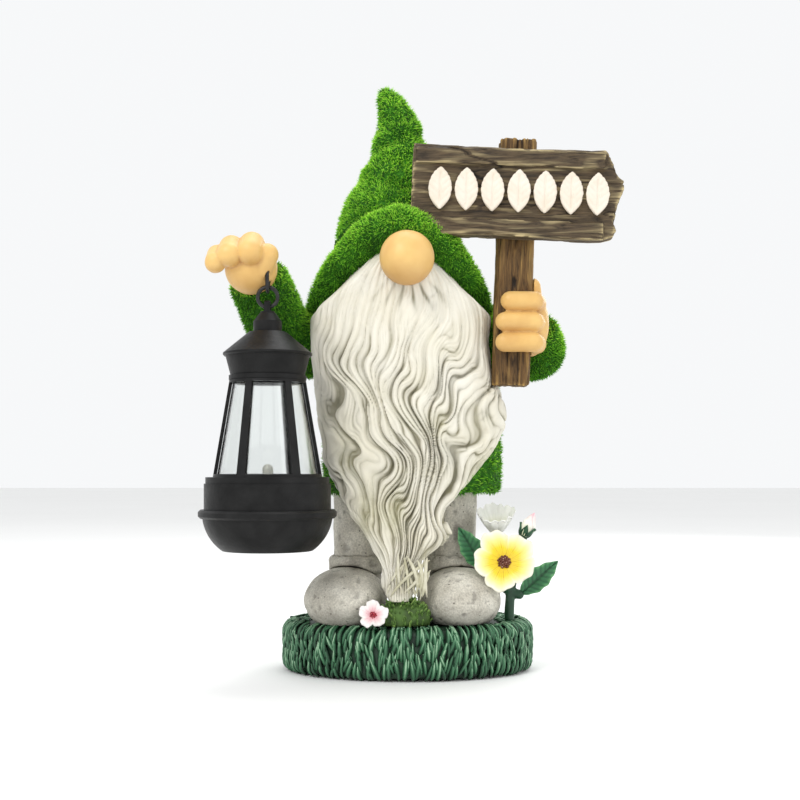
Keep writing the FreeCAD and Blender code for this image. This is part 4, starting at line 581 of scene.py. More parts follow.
# Places where the strands run, from the hem of the hat down to the tip: (height, x) along each guide line.
GUIDES = [
    [(207, -20), (198, -33), (183, -43), (165, -46), (156, -46), (138.5, -45), (123, -43), (107, -39.7),
     (90.7, -33.2), (77.7, -26.7), (63.5, -20.2), (51.6, -11.5), (40, -8)],
    [(207, -14), (190, -27), (163.5, -36.5), (147, -36.5), (134, -27), (123, -22), (112, -24), (101, -22),
     (91, -20), (82, -20), (71, -17), (61, -12.5), (49, -9.8), (40, -7)],
    [(207, -8), (185, -20), (163, -26), (147, -27), (134, -21), (123, -15), (112, -13), (101.6, -6),
     (91, -9), (82, -14), (71, -12), (61, -8), (49, -8.5), (40, -6)],
    [(207, -4), (190, -9), (175, -12), (163, -16), (150, -17), (138, -16), (125, -12), (114, -7),
     (105, 0), (95, -1), (85, -7), (75, -8), (61, -5.5), (49, -7), (40, -5)],
    [(207, 0), (190, 2), (177, 3), (163, 0), (154, -6), (143, -10.4), (130, -11.5), (119, -7), (112, 1.6),
     (105, 6), (96, 5), (85, 0), (72, -2), (60, -3), (49, -5), (40, -4.5)],
    [(207, 4), (190, 10), (177.6, 12.4), (163.5, 8), (152, 1), (140, -3), (130, -3), (120, 2), (112, 8),
     (104, 10), (96, 9), (85, 6), (72, 2.5), (60, 0), (49, -3), (40, -3.5)],
    [(207, 8), (190, 18), (175, 22), (163, 21), (150, 15), (138, 9), (130, 8.5), (121, 10), (112, 11.5),
     (104, 11.5), (95, 10.5), (85, 8), (74, 7), (66, 6), (58, 3), (49, -2), (40, -3)],
    [(207, 14), (190, 26), (175, 32), (163, 32), (150, 27.5), (138, 19), (130, 14.6), (121, 15),
     (112, 13), (104, 13.5), (95, 13), (85, 10.5), (74, 10.5), (66, 11), (58, 7), (49, -1), (40, -2.5)],
    [(207, 18), (195, 30), (178, 38), (163, 38.5), (150, 38), (140, 36), (134, 33), (127, 26), (121, 20),
     (114, 18), (104, 20), (95, 16), (85, 13.5), (74, 14), (66, 16), (58, 10), (49, 0), (40, -2)],
    [(207, 20), (198, 31), (183, 40), (163, 41), (150, 43), (140, 45), (128, 49), (116, 47), (104, 43),
     (95, 35), (88, 26), (80, 19), (74, 17.5), (66, 19), (58, 12), (49, 1), (40, -1.5)],
]
# The casting behind the strands, from tip to top: share of the height, centre x, centre y, half width and
# half depth.
BEARD_CORE = [(0, -4, -33, 4.0, 4.5), (0.06, -4, -31, 7.0, 6.7), (0.12, -3.5, -28, 11.8, 8.7),
              (0.18, -3, -26, 17.9, 11.2), (0.245, -5.5, -23.5, 23.5, 12.9),
              (0.31, -3.6, -21, 31.5, 16.2), (0.375, -1.8, -18, 38.8, 21.0),
              (0.445, 0.8, -15.5, 44.0, 25.2), (0.535, 2.3, -14, 47.0, 28.0),
              (0.625, -1.7, -14, 44.7, 28.0), (0.72, -4, -14, 44.0, 28.0), (0.86, -2.5, -14, 43.0, 26.9),
              (0.95, -3, -19, 33.8, 22.4), (1, -3, -26, 23.5, 14.0)]
BEARD_FOOT, BEARD_TOP = 37.0, 207.0
LEAST_GAP, MIDDLE_GUIDE = 1.2, 5
HEAD_AXIS = np.array([-4, -2])


def guide_line(guide, z):
    heights, places = np.array(guide[::-1]).T
    return curve_through(z, heights, places)

def strand_number(x, z):
    """Which strand a place belongs to: 0 at the left guide to 9 at the right one, smooth between them."""
    lines = np.stack([guide_line(guide, z) for guide in GUIDES])
    # no two lines come much closer than LEAST_GAP, and the middle one stays where it is
    for k in range(1, len(GUIDES)):
        gap = lines[k] - lines[k - 1]
        lines[k] = lines[k - 1] + 0.5 * (gap + np.sqrt((gap - LEAST_GAP) ** 2 + 1.0) + LEAST_GAP)
    lines += guide_line(GUIDES[MIDDLE_GUIDE], z) - lines[MIDDLE_GUIDE]
    number = np.zeros_like(x)
    for k in range(len(GUIDES) - 1):
        number += np.clip((x - lines[k]) / (lines[k + 1] - lines[k]), 0, 1)
    below = np.minimum(x - lines[0], 0) / 6
    above = np.maximum(x - lines[-1], 0) / 6
    return number + below + above


def sharp_wave(phase):
    """Rounded ridges with narrow grooves: 1 on the ridge, 0 in the groove, once for each whole number."""
    return np.abs(np.sin(math.pi * phase)) ** 0.75


# Rounded patches on the beard: x, height, half width, half height, and how deep or how brown each one is.
HOLLOWS = [(-19, 81, 4.5, 6, 2.2), (-6, 82, 5, 7, 2.0), (-32, 106, 5, 9, 2.0), (14.5, 121, 3, 6, 1.8),
           (0, 153, 3, 7, 0.9), (21, 58, 4, 6, 2.0), (13, 66, 5, 8, -1.6)]
STAINS = [(-19, 81, 6, 9, 0.7), (-6, 80, 6, 12, 0.75), (-31, 106, 6, 12, 0.5), (14, 119, 5, 7, 0.4),
          (22, 60, 6, 7, 0.7), (-22, 70, 4, 7, 0.5), (9, 56, 3, 6, 0.6), (0, 48, 5, 6, 0.5), (40, 100, 8, 8, 0.5)]

def patches(x, z, table):
    return sum(amount * np.exp(-((x - mid_x) / wide) ** 2 - ((z - mid_z) / high) ** 2)
               for mid_x, mid_z, wide, high, amount in table)

def beard():
    """One closed form, carved all over with locks, strands and fine lines that follow the guides."""
    rows, columns = 420, 400
    share = np.linspace(0, 1, rows)
    table = np.array(BEARD_CORE)
    z = BEARD_FOOT + share * (BEARD_TOP - BEARD_FOOT)
    cx, cy, hx, hy = (curve_through(share, table[:, 0], table[:, i])[:, None] for i in range(1, 5))
    # more columns on the front half than behind
    turn = np.linspace(-1, 1, columns, endpoint=False)
    theta = math.pi * (0.62 * turn + 0.38 * turn ** 3)[None, :]
    level = np.broadcast_to(z[:, None], (rows, columns))
    lobe = 6.5 * np.exp(-((level - 67) / 7.5) ** 2) * np.clip(np.sin(theta), 0, 1) ** 0.7
    spread = 3.0 * np.exp(-((level - 44) / 6) ** 2) * np.sin(theta)
    x = cx + hx * np.sin(theta) + lobe + spread
    y = cy - hy * np.cos(theta)
    flat = np.stack([x.ravel(), y.ravel(), level.ravel()], 1)
    psi = strand_number(flat[:, 0], flat[:, 2])
    curl = smooth_step(-flat[:, 2], -190, -140) * smooth_step(flat[:, 2], 40, 62)
    swing = flat[:, 2] / 31 + 0.21 * psi + 0.35 * noise(flat, 30, 38)
    shiver = 0.04 * np.sin(2 * math.pi * (1.7 * swing + 0.4 * psi))
    psi = psi + curl * (0.24 * np.sin(2 * math.pi * swing) + shiver)
    warp = 0.20 * noise(flat, 24, 31) + 0.05 * noise(flat, 12, 32)
    front = smooth_step(np.broadcast_to(np.cos(theta), x.shape).ravel(), -0.25, 0.35)
    lower = smooth_step(-flat[:, 2], -165, -120)
    long = flat * np.array([1, 1, 0.4])
    lap = (psi * 1.05 + warp * 1.4 + 0.2) % 1
    locks = (1 - lap ** 2.2) * smooth_step(lap, 0, 0.10)
    strands = sharp_wave(psi * 2.9 + warp * 3.5 + 0.75 * noise(long, 7, 33))
    fine = sharp_wave(psi * 8.0 + warp * 8 + 1.1 * noise(long, 5, 34))
    broken = smooth_step(noise(long, 5, 35), -0.5, 0.4)
    heavy = 0.35 + 0.65 * smooth_step(noise(long, 9, 39), -0.35, 0.45)
    depth = (2.9 * (0.30 + 0.70 * lower) * (1 - locks) + 1.9 * (0.55 + 0.45 * lower) * (1 - strands) * heavy
             + 0.55 * (1 - fine) * broken)
    depth += patches(flat[:, 0], flat[:, 2], HOLLOWS) + 0.5 * layered(flat, 18, 36)
    depth *= 0.25 + 0.75 * front
    depth = np.clip(depth + 0.1, -0.9, 6.5)
    slope = np.stack([np.gradient(flat.reshape(rows, columns, 3)[..., i], axis=0) for i in range(3)], -1)
    around = flat.reshape(rows, columns, 3)
    around = np.roll(around, -1, 1) - np.roll(around, 1, 1)
    normal = unit(np.cross(around, slope)).reshape(-1, 3)
    axis = np.stack(np.broadcast_arrays(cx, cy, level), -1).reshape(-1, 3)
    facing = np.sum(normal * (flat - axis), axis=1, keepdims=True)
    normal = np.where(facing < 0, -normal, normal)
    ends = smooth_step(np.minimum(flat[:, 2] - BEARD_FOOT, BEARD_TOP - flat[:, 2]), 0, 10)
    moved = flat - normal * (depth * ends)[:, None]
    # under the brim the beard draws in towards the head
    hem = 210 - 0.68 * np.sqrt((flat[:, 0] + 3.75) ** 2 + 25)
    tuck = 1 - 0.24 * smooth_step(flat[:, 2] - hem, -8, 6)
    moved[:, :2] = HEAD_AXIS + (moved[:, :2] - HEAD_AXIS) * tuck[:, None]
    caps = np.array([[moved[:columns, 0].mean(), moved[:columns, 1].mean(), BEARD_FOOT - 0.5],
                     [moved[-columns:, 0].mean(), moved[-columns:, 1].mean(), BEARD_TOP]])
    verts = np.concatenate([moved, caps])
    sides = grid_faces(rows, columns, True)
    j = np.arange(columns)
    last = (rows - 1) * columns
    low_cap = np.stack([(j + 1) % columns, j, np.full(columns, rows * columns)], 1)
    high_cap = np.stack([last + j, last + (j + 1) % columns, np.full(columns, rows * columns + 1)], 1)
    # The groove tone is painted shade: beard_paint darkens the carved grooves by it, less on the upper beard.
    groove = 1.15 * (1 - strands) ** 1.5 * heavy + 0.8 * (1 - locks) ** 2.4 + 0.35 * (1 - fine) * broken
    groove *= 0.30 + 0.70 * smooth_step(-flat[:, 2], -176, -126)
    stain = patches(flat[:, 0], flat[:, 2], STAINS)
    # Painted shade below the nose, broken into rays that spread from under it.
    under = np.exp(-((flat[:, 2] - 181) / 7) ** 2) * np.exp(-((flat[:, 0] - 1) / 16) ** 2)
    rays = np.abs(np.sin(11 * np.arctan2(flat[:, 0] + 0.5, 199 - flat[:, 2]) + 0.5 * noise(flat, 8, 37))) ** 6
    groove = np.clip(groove + 0.9 * under * rays, 0, 1)
    new_piece("beard_locks", verts, [sides, low_cap, high_cap], BEARD, slot="beard_paint",
              stands_for=("beard",), groove=np.concatenate([groove, [0.5, 0.2]]),
              stain=np.concatenate([np.clip(stain, 0, 1), [0.3, 0]]))


beard()


def wisps():
    """Loose brownish ends of hair between the curl, the tip and the tuft."""
    rng = np.random.default_rng(41)
    parts = []
    for _ in range(18):
        start = np.array([rng.uniform(-6, 11), rng.uniform(-37.5, -34.5), rng.uniform(50, 60)])
        end = np.array([rng.uniform(-11, 9), rng.uniform(-38, -35), rng.uniform(37, 41)])
        t = np.linspace(0, 1, 9)[:, None]
        bow = np.array([rng.uniform(-2.5, 2.5), rng.uniform(-1.2, 0.2), 0]) * np.sin(math.pi * t)
        path = start + (end - start) * t + bow
        radii = rng.uniform(0.5, 0.9) * np.array([0.3, 0.8, 1, 1, 1, 0.9, 0.8, 0.6, 0.2])
        verts, faces = tube(path, radii, 8)
        parts.append((verts, faces, np.full(len(verts), rng.uniform(0.45, 1.0))))
    verts, faces, stain = joined(parts)
    new_piece("beard_wisps", verts, faces, BEARD, slot="beard_paint", groove=0.5 * stain, stain=stain)


wisps()


# ---- skin, boots and legs ----------------------------------------------------------------------------------

def cast(node, material, slot, voxel, seed, bumps, size, pits, shade, rounds=3):
    """A cast and painted node: its even skin with bumps and pits, and a painted shade tone for its creases, its
    pits and what shade adds.
    """
    verts, faces, normals = skin_of(node, voxel, rounds)
    smooth = softened(verts, faces, 12)
    hollow = np.sum((smooth - verts) * normals, axis=1)
    # Painted shade: the deeper a corner lies in a crease, the darker it is painted.
    dark = np.clip(hollow / 0.5, 0, 1)
    move = bumps * layered(verts, size, seed)
    if pits:
        hole = smooth_step(noise(verts, 2.6, seed + 21), 0.42, 0.75)
        move = move - pits * hole
        # the pits are painted darker too, painted shade
        dark = np.clip(dark + 0.5 * hole, 0, 1)
    dark = np.clip(dark + shade(verts, normals), 0, 1)
    new_piece(f"{node}_cast", verts + normals * move[:, None], faces, material, slot=slot,
              stands_for=(node,), shade=dark)


# Painted shade: these darken faces that look down, on the nose also faces turned back, with random mottle on the
# boots, legs, cuffs and hands.
def boot_shade(verts, normals):
    return 0.45 * smooth_step(-normals[:, 2], -0.1, 0.7) + 0.2 * smooth_step(noise(verts, 9, 4), 0.1, 0.8)


def nose_shade(verts, normals):
    return 0.55 * smooth_step(-normals[:, 2], 0.1, 0.9) + 0.25 * smooth_step(normals[:, 1], -0.6, 0.2)


def hand_shade(verts, normals):
    return 0.35 * smooth_step(-normals[:, 2], 0.2, 0.95) + 0.2 * smooth_step(noise(verts, 7, 6), 0.2, 0.8)


for side, seed in (("left", 51), ("right", 52)):
    cast(f"boot_{side}", STONE, "speckled_stone", 0.9, seed, 0.5, 9, 0.45, boot_shade)
    cast(f"leg_{side}", STONE, "speckled_stone", 0.9, seed + 2, 0.5, 7, 0.4, boot_shade)
    cast(f"cuff_{side}", STONE, "speckled_stone", 0.8, seed + 4, 0.5, 6, 0.4, boot_shade)
cast("nose", SKIN, "skin_paint", 0.6, 57, 0.18, 7, 0, nose_shade)
cast("hand_left", SKIN, "skin_paint", 0.55, 58, 0.14, 5, 0, hand_shade, rounds=5)
cast("hand_right", SKIN, "skin_paint", 0.55, 59, 0.14, 5, 0, hand_shade, rounds=5)


# ---- the grass base ----------------------------------------------------------------------------------------

def grass_leaf(root, out, length, width, rng, bend=0.5, rise=0.9):
    """One carved blade: it rises from its root, leans out and droops at the tip."""
    steps = np.linspace(0, 1, 6)[:, None]
    sideways = np.cross(out, [0, 0, 1.0]) * rng.normal(scale=0.25)
    path = root + (out + sideways) * length * bend * steps ** 1.6
    path = path + np.array([0, 0, 1.0]) * length * (rise * steps - 0.35 * bend * steps ** 2.5)
    return carved_blade(path, width, unit(out * 0.6 + np.array([0, 0, 1.0])), rng)


BLADE_HALF_THICKNESS = 0.55

def carved_blade(path, width, up, rng):
    """A pointed blade whose raised middle caught the light paint."""
    share = np.linspace(0, 1, len(path))
    widths = width * np.interp(share, [0, 0.2, 0.6, 0.85, 1], [0.6, 1.0, 0.95, 0.6, 0.08])
    verts, faces, tone = blade_strip(path, widths, BLADE_HALF_THICKNESS, up)
    ridge = np.tile([0.0, 1.0, 0.0, 0.0], len(path))
    light = 0.10 + 0.28 * tone + (0.45 + 0.2 * tone) * ridge + rng.normal(scale=0.12)
    return verts, faces, np.clip(light, 0, 1)


BASE_TOP_ROUND, BASE_FOOT_ROUND = 6.0, 4.0
BLADES_IN_ROW, BLADES_ON_TOP = 122, 1100


def base_place(centre, half, high, angle, z, lift):
    """A place on the base's rounded side, lift millimetres out from it."""
    over = np.clip(z - (high - BASE_TOP_ROUND), 0, BASE_TOP_ROUND)
    under = np.clip(BASE_FOOT_ROUND - z, 0, BASE_FOOT_ROUND)
    inset = (BASE_TOP_ROUND - np.sqrt(BASE_TOP_ROUND ** 2 - over ** 2)
             + BASE_FOOT_ROUND - np.sqrt(BASE_FOOT_ROUND ** 2 - under ** 2))
    return np.stack([centre[0] + (half[0] - inset + lift) * np.cos(angle),
                     centre[1] + (half[1] - inset + lift) * np.sin(angle), z], -1)


def base_grass():
    verts, faces, normals = skin_of("grass_base", 1.3, 3)
    lumps = 0.7 * layered(verts, 9, 61) - 1.0
    lumps = np.where(verts[:, 2] < 3, np.minimum(lumps, 0), lumps)
    new_piece("grass_base_soil", verts + normals * lumps[:, None], faces, GRASS, slot="painted_grass",
              stands_for=("grass_base",), tone=np.clip(0.10 + 0.12 * noise(verts, 3, 62), 0, 1))
    rng = np.random.default_rng(63)
    _, high, centre, half = box_of("grass_base")
    blades = []
    # overlapping rows round the side, from the foot up
    for row, level in enumerate((0.4, 3.2, 6.4, 9.6, 12.8, 16.0, 18.5)):
        for i in range(BLADES_IN_ROW):
            angle = 2 * math.pi * (i + 0.5 * (row % 2) + rng.uniform(-0.4, 0.4)) / BLADES_IN_ROW
            t = np.linspace(0, 1, 7)
            length = rng.uniform(6.0, 10.5)
            z = level + rng.uniform(-0.3, 1.2) + length * t
            slant = rng.normal(scale=0.030) * t + 0.012 * math.sin(5 * angle + row) * t ** 2
            lift = -0.7 + 1.1 * np.sin(math.pi * np.clip(t, 0, 0.75)) + rng.uniform(-0.2, 0.4)
            path = base_place(centre, half, high[2], angle + slant, np.minimum(z, high[2]), lift)
            path[:, 2] += 0.25 * t
            out = np.array([math.cos(angle), math.sin(angle), 0.25])
            blades.append(carved_blade(path, rng.uniform(0.9, 1.5), out, rng))
    # no blades under the boots: middle x and y, half width and half length of each
    feet = [(-30.3, -12, 21, 28), (25.3, -12, 21, 28)]
    for _ in range(BLADES_ON_TOP):
        r, angle = math.sqrt(rng.uniform(0.0, 1)), rng.uniform(0, 2 * math.pi)
        x = centre[0] + half[0] * 0.92 * r * math.cos(angle)
        y = centre[1] + half[1] * 0.92 * r * math.sin(angle)
        if any(((x - fx) / hx) ** 2 + ((y - fy) / hy) ** 2 < 0.80 for fx, fy, hx, hy in feet):
            continue
        out = np.array([math.cos(angle) + rng.normal(scale=0.6), math.sin(angle) + rng.normal(scale=0.6), 0])
        height = rng.uniform(3.5, 6.5) * (1 - 0.35 * r)
        root = np.array([x, y, high[2] - 1.4])
        blades.append(grass_leaf(root, unit(out), height, rng.uniform(0.7, 1.1), rng, 0.8, 0.62))
    verts, faces, tone = joined(blades)
    verts[:, 2] = np.maximum(verts[:, 2], 0.05)
    new_piece("grass_blades", verts, faces, GRASS, slot="painted_grass", tone=tone)


def tuft():
    verts, faces, normals = skin_of("grass_tuft", 0.8, 3)
    new_piece("grass_tuft_mound", verts + normals * (0.6 * noise(verts, 4, 64) - 0.3)[:, None], faces, TUFT,
              slot="painted_grass", stands_for=("grass_tuft",), tone=0.2 + 0.2 * noise(verts, 3, 65))
    rng = np.random.default_rng(66)
    low, high, centre, half = box_of("grass_tuft")
    blades = []
    for _ in range(230):
        r, angle = math.sqrt(rng.uniform(0, 1)), rng.uniform(0, 2 * math.pi)
        out = unit(np.array([math.cos(angle), math.sin(angle) - 0.3, 0]))
        z = low[2] + (high[2] - low[2]) * math.sqrt(max(1 - r * r, 0)) - 2.0
        root = np.array([centre[0] + half[0] * 0.9 * r * math.cos(angle),
                         centre[1] + half[1] * 0.9 * r * math.sin(angle), max(z, low[2] + 0.3)])
        blades.append(grass_leaf(root, out, rng.uniform(3.5, 6.0), rng.uniform(0.55, 0.9), rng, 0.45, 0.9))
    verts, faces, tone = joined(blades)
    new_piece("grass_tuft_blades", verts, faces, TUFT, slot="painted_grass", tone=tone)


base_grass()
tuft()


# ---- the sign ----------------------------------------------------------------------------------------------

def carved(node, material, slot, squeeze, tilt, seed, voxel=0.6, deep=0.9):
    """Wood grain carved along a board or post: long ridges, sharp cracks and worn edges."""
    verts, faces, normals = skin_of(node, voxel, 2)
    centre = box_of(node)[2]
    turn = math.radians(tilt)
    p = verts - centre
    p = np.stack([p[:, 0] * math.cos(turn) - p[:, 2] * math.sin(turn), p[:, 1],
                  p[:, 0] * math.sin(turn) + p[:, 2] * math.cos(turn)], 1)
    p = p + 0.9 * np.stack([noise(p, 16, seed + i) for i in range(3)], 1)
    along = p * np.array(squeeze)
    ridge = np.abs(np.sin(math.pi * (noise(along, 5.5, seed + 3) * 1.6 + noise(along, 2.2, seed + 4) * 0.5)))
    ridge = ridge ** 0.6
    fibre = layered(along, 1.3, seed + 5, 2)
    crack = 1 - smooth_step(np.abs(noise(along, 4.2, seed + 8)), 0, 0.09)
    crack = crack * smooth_step(noise(along, 9, seed + 9), -0.2, 0.3)
    edge = np.sum((verts - softened(verts, faces, 14)) * normals, axis=1)
    chips = smooth_step(noise(verts, 3.5, seed + 10), 0.1, 0.7) * smooth_step(edge, 0.05, 0.4)
    move = deep * (0.75 * ridge - 0.65) + 0.22 * fibre - 0.9 * crack - 0.9 * chips
    tone = 0.12 + 0.55 * ridge + 0.22 * fibre + 0.8 * np.clip(edge, 0, 0.5) - 0.6 * crack
    new_piece(f"{node}_carved", verts + normals * move[:, None], faces, material, slot=slot,
              stands_for=(node,), ridge=np.clip(tone, 0, 1))


BOARD_TILT, POST_LEAN = 2.3, 1.9
carved("sign_board", BOARD_WOOD, "carved_wood_paint", (0.10, 1, 1), BOARD_TILT, 71)
carved("sign_post", POST_WOOD, "carved_wood_paint", (1, 1, 0.10), POST_LEAN, 72, deep=1.1)


def ornaments():
    """The row of raised leaves, each with a carved midrib and side veins."""
    verts, faces, normals = skin_of("sign_ornaments", 0.4, 3)
    centre = box_of("sign_ornaments")[2]
    turn = math.radians(BOARD_TILT)
    u = (verts[:, 0] - centre[0]) * math.cos(turn) - (verts[:, 2] - centre[2]) * math.sin(turn)
    v = (verts[:, 0] - centre[0]) * math.sin(turn) + (verts[:, 2] - centre[2]) * math.cos(turn)
    pitch = 12.4
    across = (u + pitch * 3.5) % pitch - pitch / 2
    rib = np.exp(-(across / 0.55) ** 2) * smooth_step(9.5 - np.abs(v), 0, 3)
    vein = np.abs(np.sin(math.pi * (v - 0.9 * np.abs(across)) / 3.3)) ** 0.35
    move = (0.35 - 0.8 * rib - 0.5 * (1 - vein) * smooth_step(np.abs(across), 0.3, 1.2)
            + 0.12 * noise(verts, 4, 75))
    front = smooth_step(-normals[:, 1], -0.1, 0.5)
    new_piece("sign_leaves", verts + normals * (move * front)[:, None], faces, CREAM, slot="cream_paint",
              stands_for=("sign_ornaments",))


ornaments()


# ---- flowers -----------------------------------------------------------------------------------------------

def flower_frame(centre, facing):
    """Three directions: right and up across the flower, and the way it faces."""
    facing = unit(np.asarray(facing, float))
    right = unit(np.cross([0, 0, 1.0], facing))
    return np.asarray(centre, float), right, np.cross(facing, right), facing


def open_flower(name, place, radius, petals, notch, rise, thick, material, stands_for, seed, turn,
                twist=0.0):
    """A closed, ruffled cup of joined petals; the tone says how far out a corner is."""
    centre, right, up, facing = place
    rings, spokes = 44, 240
    r = np.linspace(0.02, 1, rings)[:, None]
    angle = np.linspace(0, 2 * math.pi, spokes, endpoint=False)[None, :]
    lobe = np.abs(np.cos(petals * (angle - turn) / 2)) ** 0.55
    reach = radius * (1 - notch * (1 - lobe))
    reach = reach * (1 + 0.05 * np.sin(3 * angle + seed) + 0.025 * np.sin(11 * angle + 2 * seed))
    x = r * reach * np.cos(angle + twist * r)
    y = r * reach * np.sin(angle + twist * r)
    crease = 0.9 * (1 - lobe) * r ** 1.2 * radius * 0.10
    ruffle = radius * (0.05 * r ** 3 * np.sin(petals * 3 * angle + seed) + 0.03 * r ** 2 * np.sin(7 * angle))
    z = rise * r ** 1.7 - crease + ruffle
    veins = np.abs(np.sin(petals * 4.5 * angle)) ** 0.4
    z = z - 0.16 * (1 - veins) * smooth_step(r, 0.15, 0.4) * (1 - smooth_step(r, 0.75, 1))
    sides = []
    for shift in (0.0, 1.0):
        level = z - thick * shift * (1 - 0.55 * r)
        sides.append(centre + x[..., None] * right + y[..., None] * up + level[..., None] * facing)
    top, under = (s.reshape(-1, 3) for s in sides)
    verts = np.concatenate([top, under, [centre, centre - facing * thick]])
    n = rings * spokes
    faces = grid_faces(rings, spokes, True)
    j = np.arange(spokes)
    k = (j + 1) % spokes
    rim = (rings - 1) * spokes
    edge = np.stack([rim + j, rim + k, n + rim + k, n + rim + j], 1)
    first = np.stack([k, j, np.full(spokes, 2 * n)], 1)
    second = np.stack([n + j, n + k, np.full(spokes, 2 * n + 1)], 1)
    tone = np.broadcast_to(r, x.shape).ravel() * 0.92
    streak = (1 - veins) * (1 - smooth_step(r, 0.35, 0.85)) * smooth_step(r, 0.1, 0.25)
    streak = np.broadcast_to(streak, x.shape).ravel()
    tones = {"tone": np.concatenate([tone, np.full(n, 0.97), [0, 0.97]]),
             "vein": np.concatenate([streak, np.zeros(n + 2)])}
    return new_piece(name, verts, [faces, faces[:, ::-1] + n, edge[:, ::-1], first, second], material,
                     stands_for=stands_for, **tones)


def petal_paint(name, stops, vein_colour, strength):
    p = Paint(name, 0.45, Specular_IOR_Level=0.4)
    colour = p.ramp(p.tone("tone"), *stops)
    vein = p.ramp(p.tone("vein"), (0.15, 0.0), (0.8, strength))
    broken = p.sum(vein, p.ramp(p.cloud(1.5, 3), (0.35, 0.3), (0.6, 1.0)))
    patch = p.ramp(p.cloud(5, 3), (0.3, (0.93, 0.93, 0.91)), (0.7, (1.0, 1.0, 1.0)))
    veined = p.blend(broken, colour, vein_colour)
    return p.finish(p.blend(1.0, veined, patch, "MULTIPLY"), None, p.cloud(1.2, 3), 0.06)


YELLOW_HEARTED = petal_paint("petal_paint", ((0.0, (0.80, 0.50, 0.01)), (0.45, (0.86, 0.66, 0.03)),
                                             (0.68, (0.88, 0.80, 0.30)), (0.88, (0.88, 0.86, 0.74))),
                             (0.42, 0.20, 0.01), 0.85)
WHITE_PETAL = petal_paint("white_petal", ((0.0, (0.62, 0.62, 0.22)), (0.35, (0.84, 0.84, 0.68)),
                                          (0.7, (0.90, 0.90, 0.86))), (0.70, 0.72, 0.50), 0.4)
ROSE_LINED = petal_paint("blossom_paint", ((0.0, (0.72, 0.20, 0.26)), (0.4, (0.86, 0.60, 0.62)),
                                           (0.75, (0.90, 0.86, 0.84))), (0.62, 0.10, 0.18), 0.9)
BUTTON = toned_paint("flower_heart", ((0.0, (0.055, 0.012, 0.008)), (0.6, (0.16, 0.045, 0.025)),
                                      (1.0, (0.42, 0.26, 0.20))), 0.5)
RED_BUTTON = toned_paint("blossom_heart", ((0.0, (0.25, 0.01, 0.02)), (1.0, (0.62, 0.05, 0.08))), 0.45)
LEAF = toned_paint("leaf_paint", ((0.0, (0.004, 0.028, 0.012)), (0.5, (0.012, 0.085, 0.03)),
                                  (0.8, (0.03, 0.17, 0.06)), (1.0, (0.12, 0.34, 0.13))), 0.45)
BUD_PAINT = toned_paint("bud_paint", ((0.0, (0.66, 0.68, 0.45)), (0.45, (0.88, 0.86, 0.78)),
                                      (0.72, (0.90, 0.72, 0.70)), (1.0, (0.84, 0.36, 0.46))), 0.42)



GOLDEN_TURN = 2.39996


def button(name, material, place, radius, height, ring, stands_for, seed):
    """A flower's button: a dome of small beads round a sunk middle."""
    centre, right, up, facing = place
    parts = []
    rng = np.random.default_rng(seed)
    count = int(26 * (radius / 3) ** 2) + 8
    for i in range(count):
        r = radius * math.sqrt((i + 0.5) / count)
        angle = i * GOLDEN_TURN
        dome = height * (1 - (r / radius) ** 2) - ring * math.exp(-(r / (0.35 * radius)) ** 2)
        at = centre + right * r * math.cos(angle) + up * r * math.sin(angle) + facing * (dome + 0.2)
        size = radius * rng.uniform(0.16, 0.24)
        path = at + facing * size * np.array([[-2.2], [-0.6], [0.2], [0.75], [1.0]])
        verts, faces = tube(path, size * np.array([0.9, 1.0, 0.95, 0.6, 0.12]), 8)
        # Painted shade: each bead is painted darker towards its root, where it sits among the others.
        level = np.repeat([0.0, 0.2, 0.5, 0.8, 1.0], 8)
        parts.append((verts, faces, np.concatenate([level, [0, 1]]) * rng.uniform(0.5, 1)))
    verts, faces, tone = joined(parts)
    return new_piece(name, verts, faces, material, stands_for=stands_for, tone=tone)


FLOWER_LEAN = math.radians(68)
flower_centre = np.array([46.3, -23.5, 54.7])
flower_facing = (-0.06, -math.sin(FLOWER_LEAN), math.cos(FLOWER_LEAN))
main_place = flower_frame(flower_centre, flower_facing)
open_flower("main_flower_bloom", main_place, 15.2, 5, 0.20, 4.2, 2.2, YELLOW_HEARTED, ("main_flower_petals",),
            1.3, turn=math.radians(36), twist=0.12)
button("main_flower_button", BUTTON, main_place, 3.1, 1.6, 1.2, ("main_flower_heart",), 81)
CUP_LEAN = math.radians(25)
cup_place = flower_frame((43.8, -8, 68.6), (-0.05, -math.sin(CUP_LEAN), math.cos(CUP_LEAN)))
open_flower("cup_flower_bloom", cup_place, 9.6, 5, 0.16, 11.0, 1.8, WHITE_PETAL, ("cup_flower_petals",), 0.4,
            turn=0.5)
BLOSSOM_LEAN = math.radians(55)
blossom_place = flower_frame((-16.3, -39.8, 31.2), (0, -math.sin(BLOSSOM_LEAN), math.cos(BLOSSOM_LEAN)))
open_flower("small_blossom_bloom", blossom_place, 7.2, 5, 0.30, 1.4, 1.5, ROSE_LINED,
            ("small_blossom_petals",), 2.1, turn=0.3)
button("small_blossom_button", RED_BUTTON, blossom_place, 1.7, 0.9, 0.2,
       ("small_blossom_heart",), 82)


